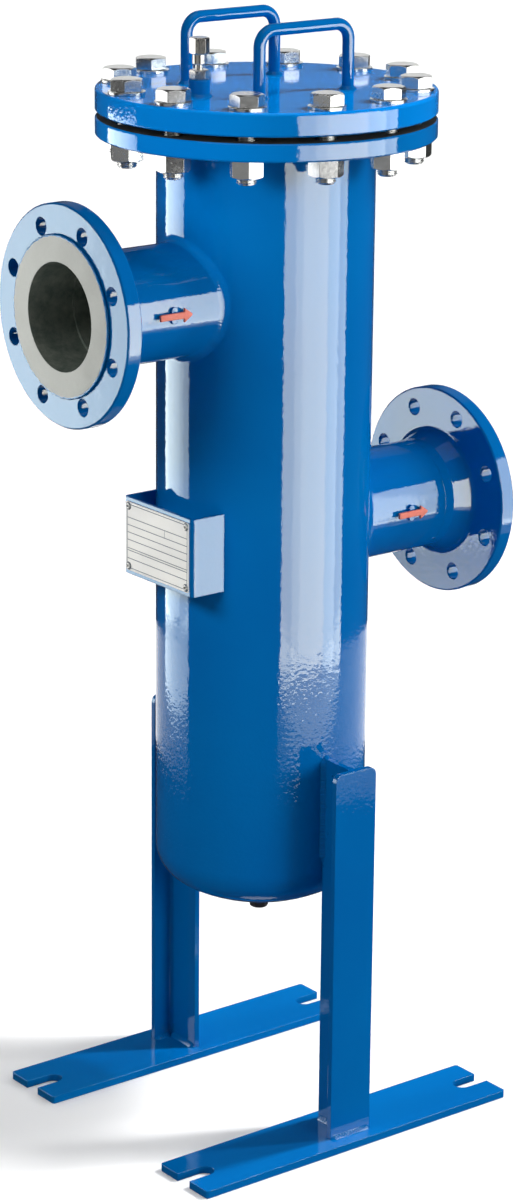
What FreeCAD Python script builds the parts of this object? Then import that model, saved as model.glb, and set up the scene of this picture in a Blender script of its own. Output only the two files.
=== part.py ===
import FreeCAD, Part
import math
import os

# Floor-standing in-line hydraulic filter, in millimetres.
# The origin is on the floor under the vessel's axis. +Z is up, the inlet faces -X and the outlet +X.

Vector = FreeCAD.Vector
ORIGIN = Vector(0, 0, 0)
X_AXIS = Vector(1, 0, 0)
Y_AXIS = Vector(0, 1, 0)
Z_AXIS = Vector(0, 0, 1)
cut_margin = 1.0
edge_chamfer = 1.0

# Hexagon fasteners: the round face left by the 30 degree chamfer, as a share of the width across flats
hex_face_share = 0.95
hex_chamfer_deg = 30.0
hex_overrun_share = 1.05

# Vessel
shell_outer_d = 219.1
shell_wall = 6.3
dish_tangent_z = 288.0
dish_skirt = 20.0
dish_crown_factor = 0.8
dish_knuckle_factor = 0.154
shell_nozzle_hole_d = 102.0

# Main flange and lid
main_rim_beyond_bolts = 22.5
main_bolt_count = 12
main_bolt_hole_d = 22.0
main_flange_underside_z = 1036.0
main_flange_rim = 18.0
main_raised_face_w = 24.45
main_bolt_gap = 2.5
main_raised_face_h = 2.0
shell_end_recess = 5.0
lid_rim = 23.0
lid_edge_radius = 3.0
rim_chamfer = 1.5
gasket_bore_gap = 1.45
gasket_thickness = 2.0

# Lid fasteners
bolt_d = 20.0
bolt_length = 75.0
bolt_across_flats = 30.0
bolt_head_h = 12.5
bolt_point_chamfer = 1.5
washer_outer_d = 37.0
washer_hole_d = 21.0
washer_thickness = 3.0
nut_h = 18.0
nut_bore_clearance = 0.15

# Lid handles
handle_span = 110.0
handle_height = 65.0
handle_bar_d = 12.0
handle_bend_r = 16.0
handle_offset_y = 59.0

# Air vent
vent_radius = 93.0
vent_angle = 187.5
vent_boss_d = 21.0
vent_boss_h = 16.5
vent_thread_d = 10.0
vent_stub_depth = 12.0
vent_hex_across = 17.0
vent_hex_h = 9.3
vent_neck_d = 8.0
vent_neck_h = 5.2
vent_collar_d = 14.0
vent_collar_h = 10.0
vent_spigot_d = 10.0
vent_spigot_h = 9.0
vent_passage_d = 4.0
vent_cone_h = 2.5
vent_disc_h = 3.0
vent_cap_across = 17.0
vent_cap_h = 16.0
vent_clearance = 0.2
vent_collar_edge_r = 0.8

# Nozzles
nozzle_face_x = 250.0
inlet_z = 882.0
outlet_z = 634.0
nozzle_pipe_d = 114.3
nozzle_pipe_wall = 6.3
nozzle_bore_d = 107.1
nozzle_flange_d = 220.0
nozzle_rim = 17.0
nozzle_raised_face_d = 158.0
nozzle_raised_face_h = 3.0
nozzle_bolt_circle_d = 180.0
nozzle_bolt_count = 8
nozzle_bolt_hole_d = 18.0
nozzle_hub_d = 131.0
nozzle_hub_length = 52.0
nozzle_hub_straight = 12.0
nozzle_hub_fillet = 6.0

# Flow arrows
arrow_length = 38.0
arrow_shaft_w = 6.5
arrow_head_w = 14.5
arrow_head_length = 9.5
arrow_thickness = 3.0
arrow_lug_w = 7.0
arrow_lug_h = 17.0
arrow_lug_depth = 3.0
arrow_pin_d = 3.0
arrow_tip_r = 1.5
arrow_barb_r = 0.5
inlet_arrow_x = -156.0
outlet_arrow_x = 150.0

# Nameplate bracket
bracket_reach = 23.45
bracket_width = 116.0
bracket_height = 80.5
bracket_bottom_z = 592.0
bracket_sheet = 3.0
bracket_bend_r = 4.5
plate_width = 106.0
plate_height = 72.0
plate_thickness = 1.0
plate_corner_r = 2.0
rivet_inset = 4.5
rivet_shank_d = 3.0
rivet_head_d = 6.0
rivet_head_h = 1.2
rivet_crown_share = 0.5
rivet_rim_share = 0.33

# Legs and feet
foot_length = 400.0
foot_width = 80.0
foot_thickness = 8.0
foot_centre_y = 137.0
foot_corner_r = 3.0
slot_width = 20.0
slot_depth = 36.5
leg_top_z = 410.0
leg_flange_w = 52.0
leg_depth = 49.0
leg_thickness = 6.0
leg_root_r = 4.0
leg_corner_r = 8.0

# Drain
drain_boss_d = 30.0
drain_boss_bottom_z = 221.0
drain_thread_d = 14.0
drain_thread_clearance = 0.1
drain_seal_d = 20.0
drain_seal_thickness = 1.5
drain_plug_across = 17.0
drain_plug_head_h = 7.0
drain_plug_shank = 18.0

# Filter element
seat_bottom_z = 745.0
seat_thickness = 12.0
seat_bore_d = 150.0
element_clearance = 0.3
element_rim_d = 168.0
element_rim_h = 6.0
element_rim_edge_r = 1.5
element_mouth_edge_r = 2.0
element_mouth_d = 104.0
element_spigot_depth = 24.0
oring_section_d = 3.8
oring_groove_w = 4.6
oring_below_rim = 6.0
media_length = 392.0
media_pleats = 48
media_outer_d = 137.0
media_inner_d = 112.0
media_fold = 4.0
potting_depth = 5.0
support_inner_d = 138.0
support_wall = 1.5
support_slot_columns = 8
support_slot_rows = 4
support_slot_w = 18.0
support_slot_gap = 14.0
bottom_cap_d = 146.0
bottom_cap_h = 12.0
bottom_cap_web = 5.0
bottom_cap_edge_r = 2.0

# Bypass valve under the element
bypass_port_d = 50.0
bypass_seat_w = 4.0
bypass_seat_slope_w = 8.0
bypass_disc_d = 60.0
bypass_disc_h = 4.0
bypass_stem_d = 8.0
bypass_stem_overhang = 4.0
bypass_guide_clearance = 0.1
cage_outer_d = 84.0
cage_flange_d = 100.0
cage_wall = 3.0
cage_depth = 46.0
cage_windows = 3
cage_window_w = 34.0
cage_window_foot = 5.0
cage_window_head = 8.0
cage_window_r = 5.0
cage_bend_r = 6.0
cage_inner_bend_r = 3.0
cage_hub_wall = 4.0
cage_hub_h = 6.0
spring_mean_d = 38.0
spring_turns = 4.5
spring_wire_radial = 3.0
spring_wire_axial = 2.4
spring_seat_gap = 0.2

# Bail of the element
bail_wire_d = 8.0
bail_half_span = 60.0
bail_reach = 70.0
bail_bend_r = 18.0
bail_axis_above_rim = 12.0
bail_lug_thickness = 4.0
bail_lug_half_w = 9.0
bail_lug_gap = 1.0
bail_end_length = 14.0
bail_pin_clearance = 0.1
bail_rest_gap = 0.3

# Levels and radii that follow from the sizes above
shell_r = shell_outer_d / 2
shell_inner_r = shell_r - shell_wall
main_raised_r = shell_r + main_raised_face_w
main_bolt_circle_r = main_raised_r + main_bolt_gap + main_bolt_hole_d / 2
main_rim_r = main_bolt_circle_r + main_rim_beyond_bolts
gasket_inner_r = shell_r + gasket_bore_gap
bracket_front_x = shell_r + bracket_reach
main_flange_top_z = main_flange_underside_z + main_flange_rim
main_joint_z = main_flange_top_z + main_raised_face_h
lid_joint_z = main_joint_z + gasket_thickness
lid_underside_z = lid_joint_z + main_raised_face_h
lid_top_z = lid_underside_z + lid_rim
bolt_seat_z = lid_top_z + washer_thickness
pipe_r = nozzle_pipe_d / 2
pipe_inner_r = pipe_r - nozzle_pipe_wall
seat_top_z = seat_bottom_z + seat_thickness
spigot_r = seat_bore_d / 2 - element_clearance
oring_outer_r = seat_bore_d / 2 - element_clearance / 2
spigot_bottom_z = seat_top_z - element_spigot_depth
media_top_z = spigot_bottom_z + potting_depth
media_bottom_z = media_top_z - media_length
bottom_cap_top_z = media_bottom_z + potting_depth
bottom_cap_z = bottom_cap_top_z - bottom_cap_h
support_r = support_inner_d / 2 + support_wall
bail_axis_z = seat_top_z + element_rim_h + bail_axis_above_rim


def round_rod(radius, start, end):
    """Solid cylinder between two points."""
    axis = end.sub(start)
    return Part.makeCylinder(radius, axis.Length, start, axis)


def rounded_wire(corners):
    """Closed wire in the XZ plane through (u, v) or (u, v, fillet radius) corners."""
    count = len(corners)
    points = [Vector(corner[0], 0, corner[1]) for corner in corners]
    fillets = [corner[2] if len(corner) > 2 else 0.0 for corner in corners]
    entries = []
    exits = []
    arcs = []
    for index in range(count):
        corner = points[index]
        back = points[index - 1].sub(corner)
        ahead = points[(index + 1) % count].sub(corner)
        if fillets[index] == 0.0:
            entries.append(corner)
            exits.append(corner)
            arcs.append(None)
            continue
        half_angle = back.getAngle(ahead) / 2
        setback = fillets[index] / math.tan(half_angle)
        back.normalize()
        ahead.normalize()
        entry = corner.add(back * setback)
        leave = corner.add(ahead * setback)
        bisector = back.add(ahead)
        bisector.normalize()
        middle = corner.add(bisector * (fillets[index] / math.sin(half_angle) - fillets[index]))
        entries.append(entry)
        exits.append(leave)
        arcs.append(Part.Arc(entry, middle, leave).toShape())
    edges = []
    for index in range(count):
        if arcs[index] is not None:
            edges.append(arcs[index])
        start = exits[index]
        end = entries[(index + 1) % count]
        if start.distanceToPoint(end) > 1e-6:
            edges.append(Part.makeLine(start, end))
    return Part.Wire(edges)


def turned(corners, base=ORIGIN, axis=Z_AXIS):
    """Solid of revolution of a (radius, height) profile about an axis through base."""
    face = Part.Face(rounded_wire(corners))
    solid = face.revolve(ORIGIN, Z_AXIS, 360)
    solid.Placement = FreeCAD.Placement(base, FreeCAD.Rotation(Z_AXIS, axis))
    return solid


def ring(outer_r, inner_r, bottom_z, top_z, base=ORIGIN, axis=Z_AXIS):
    """Plain ring of rectangular section."""
    profile = [(inner_r, bottom_z), (outer_r, bottom_z), (outer_r, top_z), (inner_r, top_z)]
    return turned(profile, base, axis)


def plan_prism(corners, bottom_z, height):
    """Extrusion along +Z of an (x, y) outline with optional corner radii."""
    wire = rounded_wire(corners)
    wire.rotate(ORIGIN, X_AXIS, -90)
    wire.translate(Vector(0, 0, bottom_z))
    return Part.Face(wire).extrude(Vector(0, 0, height))


def side_prism(corners, start_y, depth):
    """Extrusion along Y of an (x, z) outline with optional corner radii."""
    wire = rounded_wire(corners)
    wire.translate(Vector(0, start_y, 0))
    return Part.Face(wire).extrude(Vector(0, depth, 0))


def hexagon(across_flats, bottom_z, height, top_chamfer=True, bottom_chamfer=False):
    """Hexagonal prism on the Z axis with its corners turned off at 30 degrees."""
    corner_r = across_flats / math.sqrt(3)
    outline = []
    for index in range(6):
        angle = math.radians(60 * index + 30)
        outline.append((corner_r * math.cos(angle), corner_r * math.sin(angle)))
    prism = plan_prism(outline, bottom_z, height)
    face_r = across_flats / 2 * hex_face_share
    overrun_r = corner_r * hex_overrun_share
    drop = (overrun_r - face_r) * math.tan(math.radians(hex_chamfer_deg))
    top_z = bottom_z + height
    profile = [(0, bottom_z)]
    if bottom_chamfer:
        profile.append((face_r, bottom_z))
        profile.append((overrun_r, bottom_z + drop))
    else:
        profile.append((overrun_r, bottom_z))
    if top_chamfer:
        profile.append((overrun_r, top_z - drop))
        profile.append((face_r, top_z))
    else:
        profile.append((overrun_r, top_z))
    profile.append((0, top_z))
    return prism.common(turned(profile))


def around_axis(solid, count, first_angle, radius, base=ORIGIN, axis=Z_AXIS):
    """Copies of a solid modelled on the Z axis, set on a circle about an axis."""
    copies = []
    turn_to_axis = FreeCAD.Rotation(Z_AXIS, axis)
    for index in range(count):
        copy = solid.copy()
        angle = first_angle + 360.0 * index / count
        copy.rotate(ORIGIN, Z_AXIS, angle - first_angle)
        offset = Vector(radius * math.cos(math.radians(angle)), radius * math.sin(math.radians(angle)), 0)
        copy.translate(offset)
        copy.Placement = FreeCAD.Placement(base, turn_to_axis).multiply(copy.Placement)
        copies.append(copy)
    return copies


def bent_rod(points, bend_radii, rod_r):
    """Round bar along straight runs joined by tangent bends."""
    edges = []
    start = points[0]
    for index in range(1, len(points) - 1):
        corner = points[index]
        back = points[index - 1].sub(corner)
        ahead = points[index + 1].sub(corner)
        half_angle = back.getAngle(ahead) / 2
        bend_r = bend_radii[index - 1]
        setback = bend_r / math.tan(half_angle)
        back.normalize()
        ahead.normalize()
        entry = corner.add(back * setback)
        leave = corner.add(ahead * setback)
        bisector = back.add(ahead)
        bisector.normalize()
        middle = corner.add(bisector * (bend_r / math.sin(half_angle) - bend_r))
        edges.append(Part.makeLine(start, entry))
        edges.append(Part.Arc(entry, middle, leave).toShape())
        start = leave
    edges.append(Part.makeLine(start, points[-1]))
    path = Part.Wire(edges)
    direction = points[1].sub(points[0])
    section = Part.Wire(Part.makeCircle(rod_r, points[0], direction))
    return path.makePipeShell([section], True, True)


# Vessel

def dish_profile(wall_side_r, crown_r, knuckle_r):
    """Edges of one side of the dished bottom, from the axis up to the top of its skirt."""
    crown_to_knuckle = crown_r - knuckle_r
    knuckle_x = wall_side_r - knuckle_r
    crown_centre_z = dish_tangent_z + math.sqrt(crown_to_knuckle ** 2 - knuckle_x ** 2)
    tangent_angle = math.asin(knuckle_x / crown_to_knuckle)

    def on_crown(angle):
        return Vector(crown_r * math.sin(angle), 0, crown_centre_z - crown_r * math.cos(angle))

    def on_knuckle(angle):
        across = knuckle_x + knuckle_r * math.sin(angle)
        return Vector(across, 0, dish_tangent_z - knuckle_r * math.cos(angle))

    middle_angle = (tangent_angle + math.pi / 2) / 2
    crown = Part.Arc(on_crown(0), on_crown(tangent_angle / 2), on_crown(tangent_angle))
    knuckle = Part.Arc(on_knuckle(tangent_angle), on_knuckle(middle_angle), on_knuckle(math.pi / 2))
    skirt_top = Vector(wall_side_r, 0, dish_tangent_z + dish_skirt)
    skirt = Part.makeLine(on_knuckle(math.pi / 2), skirt_top)
    return [crown.toShape(), knuckle.toShape(), skirt]


def dish_sides():
    """Outer and inner profile of the dished bottom, a constant wall apart."""
    inner_crown_r = dish_crown_factor * shell_outer_d
    inner_knuckle_r = dish_knuckle_factor * shell_outer_d
    outer = dish_profile(shell_r, inner_crown_r + shell_wall, inner_knuckle_r + shell_wall)
    inner = dish_profile(shell_inner_r, inner_crown_r, inner_knuckle_r)
    return outer, inner


def dish_outer_solid():
    """The dished bottom filled solid, for fitting the drain boss to its outside."""
    outer = dish_sides()[0]
    bottom = outer[0].Vertexes[0].Point
    top = outer[-1].Vertexes[-1].Point
    top_centre = Vector(0, 0, top.z)
    closing = [Part.makeLine(top, top_centre), Part.makeLine(top_centre, bottom)]
    face = Part.Face(Part.Wire(outer + closing))
    return face.revolve(ORIGIN, Z_AXIS, 360)


def make_dished_bottom():
    outer, inner = dish_sides()
    outer_low = outer[0].Vertexes[0].Point
    inner_low = inner[0].Vertexes[0].Point
    outer_top = outer[-1].Vertexes[-1].Point
    inner_top = inner[-1].Vertexes[-1].Point
    closing = [Part.makeLine(outer_top, inner_top), Part.makeLine(inner_low, outer_low)]
    face = Part.Face(Part.Wire(Part.__sortEdges__(outer + inner + closing)))
    head = face.revolve(ORIGIN, Z_AXIS, 360)
    drain_hole = round_rod(drain_thread_d / 2, Vector(0, 0, drain_boss_bottom_z), Vector(0, 0, dish_tangent_z))
    return head.cut(drain_hole)


def make_shell():
    bottom_z = dish_tangent_z + dish_skirt
    top_z = main_joint_z - shell_end_recess
    body = ring(shell_r, shell_inner_r, bottom_z, top_z)
    hole_r = shell_nozzle_hole_d / 2
    inlet_hole = round_rod(hole_r, Vector(-shell_outer_d, 0, inlet_z), Vector(0, 0, inlet_z))
    outlet_hole = round_rod(hole_r, Vector(0, 0, outlet_z), Vector(shell_outer_d, 0, outlet_z))
    return body.cut(inlet_hole).cut(outlet_hole)


def bolt_holes(count, circle_r, hole_d, bottom_z, top_z, base=ORIGIN, axis=Z_AXIS):
    """Drills for a bolt circle that straddles the main axes."""
    drill = round_rod(hole_d / 2, Vector(0, 0, bottom_z), Vector(0, 0, top_z))
    return around_axis(drill, count, 180.0 / count, circle_r, base, axis)


def make_shell_flange():
    profile = [
        (shell_r, main_flange_underside_z),
        (main_rim_r - rim_chamfer, main_flange_underside_z),
        (main_rim_r, main_flange_underside_z + rim_chamfer),
        (main_rim_r, main_flange_top_z - rim_chamfer),
        (main_rim_r - rim_chamfer, main_flange_top_z),
        (main_raised_r, main_flange_top_z),
        (main_raised_r, main_joint_z),
        (shell_r, main_joint_z),
    ]
    drills = bolt_holes(main_bolt_count, main_bolt_circle_r, main_bolt_hole_d,
                        main_flange_underside_z - cut_margin, main_joint_z + cut_margin)
    return turned(profile).cut(drills)


def make_lid_gasket():
    return ring(main_raised_r, gasket_inner_r, main_joint_z, lid_joint_z)


def make_element_seat():
    return ring(shell_inner_r, seat_bore_d / 2, seat_bottom_z, seat_top_z)


# Lid and what is carried by it

def vent_centre(z):
    angle = math.radians(vent_angle)
    return Vector(vent_radius * math.cos(angle), vent_radius * math.sin(angle), z)


def make_lid():
    profile = [
        (0, lid_joint_z),
        (main_raised_r, lid_joint_z),
        (main_raised_r, lid_underside_z),
        (main_rim_r - rim_chamfer, lid_underside_z),
        (main_rim_r, lid_underside_z + rim_chamfer),
        (main_rim_r, lid_top_z, lid_edge_radius),
        (0, lid_top_z),
    ]
    drills = bolt_holes(main_bolt_count, main_bolt_circle_r, main_bolt_hole_d,
                        lid_joint_z - cut_margin, lid_top_z + cut_margin)
    vent_drill = round_rod(vent_thread_d / 2, vent_centre(lid_joint_z - cut_margin),
                           vent_centre(lid_top_z + cut_margin))
    return turned(profile).cut(drills + [vent_drill])


def make_lid_bolts():
    point_z = bolt_seat_z - bolt_length
    shank_profile = [
        (0, point_z),
        (bolt_d / 2 - bolt_point_chamfer, point_z),
        (bolt_d / 2, point_z + bolt_point_chamfer),
        (bolt_d / 2, bolt_seat_z),
        (0, bolt_seat_z),
    ]
    head = hexagon(bolt_across_flats, bolt_seat_z, bolt_head_h)
    bolt = head.fuse(turned(shank_profile)).removeSplitter()
    return around_axis(bolt, main_bolt_count, 180.0 / main_bolt_count, main_bolt_circle_r)


def make_lid_washers():
    washer = ring(washer_outer_d / 2, washer_hole_d / 2, lid_top_z, bolt_seat_z)
    return around_axis(washer, main_bolt_count, 180.0 / main_bolt_count, main_bolt_circle_r)


def make_lid_nuts():
    bottom_z = main_flange_underside_z - nut_h
    blank = hexagon(bolt_across_flats, bottom_z, nut_h, False, True)
    bore_r = bolt_d / 2 + nut_bore_clearance
    bore = round_rod(bore_r, Vector(0, 0, bottom_z - cut_margin),
                     Vector(0, 0, main_flange_underside_z + cut_margin))
    nut = blank.cut(bore)
    return around_axis(nut, main_bolt_count, 180.0 / main_bolt_count, main_bolt_circle_r)


def make_handle(centre_y):
    half = handle_span / 2
    bar_z = lid_top_z + handle_height
    path = [
        Vector(-half, centre_y, lid_top_z),
        Vector(-half, centre_y, bar_z),
        Vector(half, centre_y, bar_z),
        Vector(half, centre_y, lid_top_z),
    ]
    return bent_rod(path, [handle_bend_r, handle_bend_r], handle_bar_d / 2)


# Vent, modelled on the Z axis from the lid's top face and then moved to its place

vent_hex_z = vent_boss_h
vent_neck_z = vent_hex_z + vent_hex_h
vent_collar_z = vent_neck_z + vent_neck_h
vent_spigot_z = vent_collar_z + vent_collar_h
vent_seat_z = vent_spigot_z + vent_spigot_h


def make_vent_boss():
    bore_r = vent_thread_d / 2
    outer_r = vent_boss_d / 2
    profile = [
        (bore_r, 0),
        (outer_r, 0),
        (outer_r, vent_boss_h, edge_chamfer),
        (bore_r, vent_boss_h),
    ]
    return turned(profile, vent_centre(lid_top_z))


def make_vent_fitting():
    passage_r = vent_passage_d / 2
    stub_z = vent_hex_z - vent_stub_depth
    profile = [
        (passage_r, stub_z),
        (vent_thread_d / 2, stub_z),
        (vent_thread_d / 2, vent_neck_z - vent_hex_h / 2),
        (vent_neck_d / 2, vent_neck_z - vent_hex_h / 2),
        (vent_neck_d / 2, vent_collar_z),
        (vent_collar_d / 2, vent_collar_z, vent_collar_edge_r),
        (vent_collar_d / 2, vent_spigot_z, vent_collar_edge_r),
        (vent_spigot_d / 2, vent_spigot_z),
        (vent_spigot_d / 2, vent_seat_z),
        (passage_r, vent_seat_z),
    ]
    body = turned(profile)
    hexagon_solid = hexagon(vent_hex_across, vent_hex_z, vent_hex_h, True, True)
    passage = round_rod(passage_r, Vector(0, 0, stub_z - cut_margin), Vector(0, 0, vent_seat_z + cut_margin))
    fitting = body.fuse(hexagon_solid).cut(passage).removeSplitter()
    fitting.translate(vent_centre(lid_top_z))
    return fitting


def make_vent_plug():
    disc_r = vent_spigot_d / 2
    cone_r = vent_passage_d / 2 - vent_clearance
    profile = [
        (0, vent_seat_z - vent_cone_h),
        (cone_r, vent_seat_z),
        (disc_r, vent_seat_z),
        (disc_r, vent_seat_z + vent_disc_h),
        (0, vent_seat_z + vent_disc_h),
    ]
    return turned(profile, vent_centre(lid_top_z))


def make_vent_cap():
    ceiling_z = vent_seat_z + vent_disc_h + vent_clearance
    bore_r = vent_spigot_d / 2 + vent_clearance
    blank = hexagon(vent_cap_across, vent_spigot_z, vent_cap_h, True, True)
    bore = round_rod(bore_r, Vector(0, 0, vent_spigot_z - cut_margin), Vector(0, 0, ceiling_z))
    cap = blank.cut(bore)
    cap.translate(vent_centre(lid_top_z))
    return cap


# Nozzles

def make_nozzle_flange(face_centre, inward):
    bore_r = nozzle_bore_d / 2
    rim_r = nozzle_flange_d / 2
    back_z = nozzle_raised_face_h + nozzle_rim
    profile = [
        (bore_r, 0),
        (nozzle_raised_face_d / 2, 0),
        (nozzle_raised_face_d / 2, nozzle_raised_face_h),
        (rim_r - rim_chamfer, nozzle_raised_face_h),
        (rim_r, nozzle_raised_face_h + rim_chamfer),
        (rim_r, back_z - rim_chamfer),
        (rim_r - rim_chamfer, back_z),
        (nozzle_hub_d / 2, back_z, nozzle_hub_fillet),
        (pipe_r, nozzle_hub_length - nozzle_hub_straight),
        (pipe_r, nozzle_hub_length),
        (bore_r, nozzle_hub_length),
    ]
    drills = bolt_holes(nozzle_bolt_count, nozzle_bolt_circle_d / 2, nozzle_bolt_hole_d,
                        -cut_margin, back_z + cut_margin, face_centre, inward)
    return turned(profile, face_centre, inward).cut(drills)


def make_nozzle_pipe(side, centre_z):
    start = Vector(side * (nozzle_face_x - nozzle_hub_length), 0, centre_z)
    end = Vector(0, 0, centre_z)
    pipe = round_rod(pipe_r, start, end).cut(round_rod(pipe_inner_r, start, end))
    above = Vector(0, 0, centre_z + nozzle_pipe_d)
    below = Vector(0, 0, centre_z - nozzle_pipe_d)
    return pipe.cut(round_rod(shell_r, below, above))


# Flow arrows

arrow_back_y = -(nozzle_pipe_d / 2 + arrow_lug_depth)


def make_arrow(centre_x, centre_z):
    tail_x = centre_x - arrow_length / 2
    neck_x = centre_x + arrow_length / 2 - arrow_head_length
    tip_x = centre_x + arrow_length / 2
    shaft = arrow_shaft_w / 2
    head = arrow_head_w / 2
    outline = [
        (tail_x, centre_z - shaft),
        (neck_x, centre_z - shaft),
        (neck_x, centre_z - head, arrow_barb_r),
        (tip_x, centre_z, arrow_tip_r),
        (neck_x, centre_z + head, arrow_barb_r),
        (neck_x, centre_z + shaft),
        (tail_x, centre_z + shaft),
    ]
    arrow = side_prism(outline, arrow_back_y - arrow_thickness, arrow_thickness)
    pin_front = Vector(centre_x, arrow_back_y - arrow_thickness - cut_margin, centre_z)
    pin_back = Vector(centre_x, arrow_back_y + cut_margin, centre_z)
    return arrow.cut(round_rod(arrow_pin_d / 2, pin_front, pin_back))


def make_arrow_lug(centre_x, centre_z):
    half_w = arrow_lug_w / 2
    half_h = arrow_lug_h / 2
    outline = [
        (centre_x - half_w, centre_z - half_h, half_w),
        (centre_x + half_w, centre_z - half_h, half_w),
        (centre_x + half_w, centre_z + half_h, half_w),
        (centre_x - half_w, centre_z + half_h, half_w),
    ]
    lug = side_prism(outline, arrow_back_y, -arrow_back_y)
    pipe_axis_start = Vector(centre_x - arrow_length, 0, centre_z)
    pipe_axis_end = Vector(centre_x + arrow_length, 0, centre_z)
    lug = lug.cut(round_rod(pipe_r, pipe_axis_start, pipe_axis_end))
    pin = round_rod(arrow_pin_d / 2, Vector(centre_x, arrow_back_y, centre_z),
                    Vector(centre_x, arrow_back_y - arrow_thickness, centre_z))
    return lug.fuse(pin)


# Nameplate

bracket_centre_z = bracket_bottom_z + bracket_height / 2


def rivet_places():
    half_y = plate_width / 2 - rivet_inset
    half_z = plate_height / 2 - rivet_inset
    return [(y, bracket_centre_z + z) for y in (-half_y, half_y) for z in (-half_z, half_z)]


def rivet_drills(radius):
    drills = []
    for y, z in rivet_places():
        outside = Vector(-bracket_front_x - plate_thickness - cut_margin, y, z)
        inside = Vector(-bracket_front_x + bracket_sheet + cut_margin, y, z)
        drills.append(round_rod(radius, outside, inside))
    return drills


def make_nameplate_bracket():
    half = bracket_width / 2
    outer_x = -bracket_front_x
    inner_x = outer_x + bracket_sheet
    inner_bend_r = bracket_bend_r - bracket_sheet
    outline = [
        (0, half),
        (outer_x, half, bracket_bend_r),
        (outer_x, -half, bracket_bend_r),
        (0, -half),
        (0, -half + bracket_sheet),
        (inner_x, -half + bracket_sheet, inner_bend_r),
        (inner_x, half - bracket_sheet, inner_bend_r),
        (0, half - bracket_sheet),
    ]
    sheet = plan_prism(outline, bracket_bottom_z, bracket_height)
    vessel = round_rod(shell_r, Vector(0, 0, bracket_bottom_z - cut_margin),
                       Vector(0, 0, bracket_bottom_z + bracket_height + cut_margin))
    return sheet.cut(vessel).cut(rivet_drills(rivet_shank_d / 2))


def make_nameplate():
    half_y = plate_width / 2
    half_z = plate_height / 2
    outline = [
        (-half_y, bracket_centre_z - half_z, plate_corner_r),
        (half_y, bracket_centre_z - half_z, plate_corner_r),
        (half_y, bracket_centre_z + half_z, plate_corner_r),
        (-half_y, bracket_centre_z + half_z, plate_corner_r),
    ]
    plate = side_prism(outline, 0, plate_thickness)
    plate.rotate(ORIGIN, Z_AXIS, 90)
    plate.translate(Vector(-bracket_front_x, 0, 0))
    return plate.cut(rivet_drills(rivet_shank_d / 2))


def make_nameplate_rivets():
    shank_length = plate_thickness + bracket_sheet
    profile = [
        (0, -rivet_head_h),
        (rivet_head_d / 2 * rivet_crown_share, -rivet_head_h),
        (rivet_head_d / 2, -rivet_head_h * rivet_rim_share),
        (rivet_head_d / 2, 0),
        (rivet_shank_d / 2, 0),
        (rivet_shank_d / 2, shank_length),
        (0, shank_length),
    ]
    face_x = -bracket_front_x - plate_thickness
    return [turned(profile, Vector(face_x, y, z), X_AXIS) for y, z in rivet_places()]


# Legs and feet

def make_leg(side):
    """T-section leg whose web runs out from the shell, with side -1 in front and 1 behind."""
    web_inner_y = side * shell_r
    flange_outer_y = side * (shell_r + leg_depth)
    flange_inner_y = flange_outer_y - side * leg_thickness
    half_w = leg_flange_w / 2
    half_t = leg_thickness / 2
    section = [
        (-half_w, flange_outer_y),
        (half_w, flange_outer_y),
        (half_w, flange_inner_y),
        (half_t, flange_inner_y, leg_root_r),
        (half_t, web_inner_y),
        (-half_t, web_inner_y),
        (-half_t, flange_inner_y, leg_root_r),
        (-half_w, flange_inner_y),
    ]
    bar = plan_prism(section, foot_thickness, leg_top_z - foot_thickness)
    rounding = [
        (-half_w, foot_thickness),
        (half_w, foot_thickness),
        (half_w, leg_top_z, leg_corner_r),
        (-half_w, leg_top_z, leg_corner_r),
    ]
    low_y = min(web_inner_y, flange_outer_y) - cut_margin
    return bar.common(side_prism(rounding, low_y, leg_depth + 2 * cut_margin))


def make_foot(side):
    half_l = foot_length / 2
    half_w = foot_width / 2
    half_s = slot_width / 2
    slot_x = half_l - slot_depth
    outline = [
        (-half_l, -half_w, foot_corner_r),
        (half_l, -half_w, foot_corner_r),
        (half_l, -half_s),
        (slot_x, -half_s, half_s),
        (slot_x, half_s, half_s),
        (half_l, half_s),
        (half_l, half_w, foot_corner_r),
        (-half_l, half_w, foot_corner_r),
        (-half_l, half_s),
        (-slot_x, half_s, half_s),
        (-slot_x, -half_s, half_s),
        (-half_l, -half_s),
    ]
    foot = plan_prism(outline, 0, foot_thickness)
    foot.translate(Vector(0, side * foot_centre_y, 0))
    return foot


# Drain

def make_drain_boss():
    blank = ring(drain_boss_d / 2, drain_thread_d / 2, drain_boss_bottom_z, dish_tangent_z)
    return blank.cut(dish_outer_solid())


def make_drain_seal():
    bottom_z = drain_boss_bottom_z - drain_seal_thickness
    inner_r = drain_thread_d / 2 + drain_thread_clearance
    return ring(drain_seal_d / 2, inner_r, bottom_z, drain_boss_bottom_z)


def make_drain_plug():
    head_top_z = drain_boss_bottom_z - drain_seal_thickness
    head_bottom_z = head_top_z - drain_plug_head_h
    shank_r = drain_thread_d / 2 - drain_thread_clearance
    head = hexagon(drain_plug_across, head_bottom_z, drain_plug_head_h, False, True)
    shank = round_rod(shank_r, Vector(0, 0, head_top_z), Vector(0, 0, head_top_z + drain_plug_shank))
    return head.fuse(shank)


# Filter element, hanging in the seat and lifted out by its bail

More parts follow.
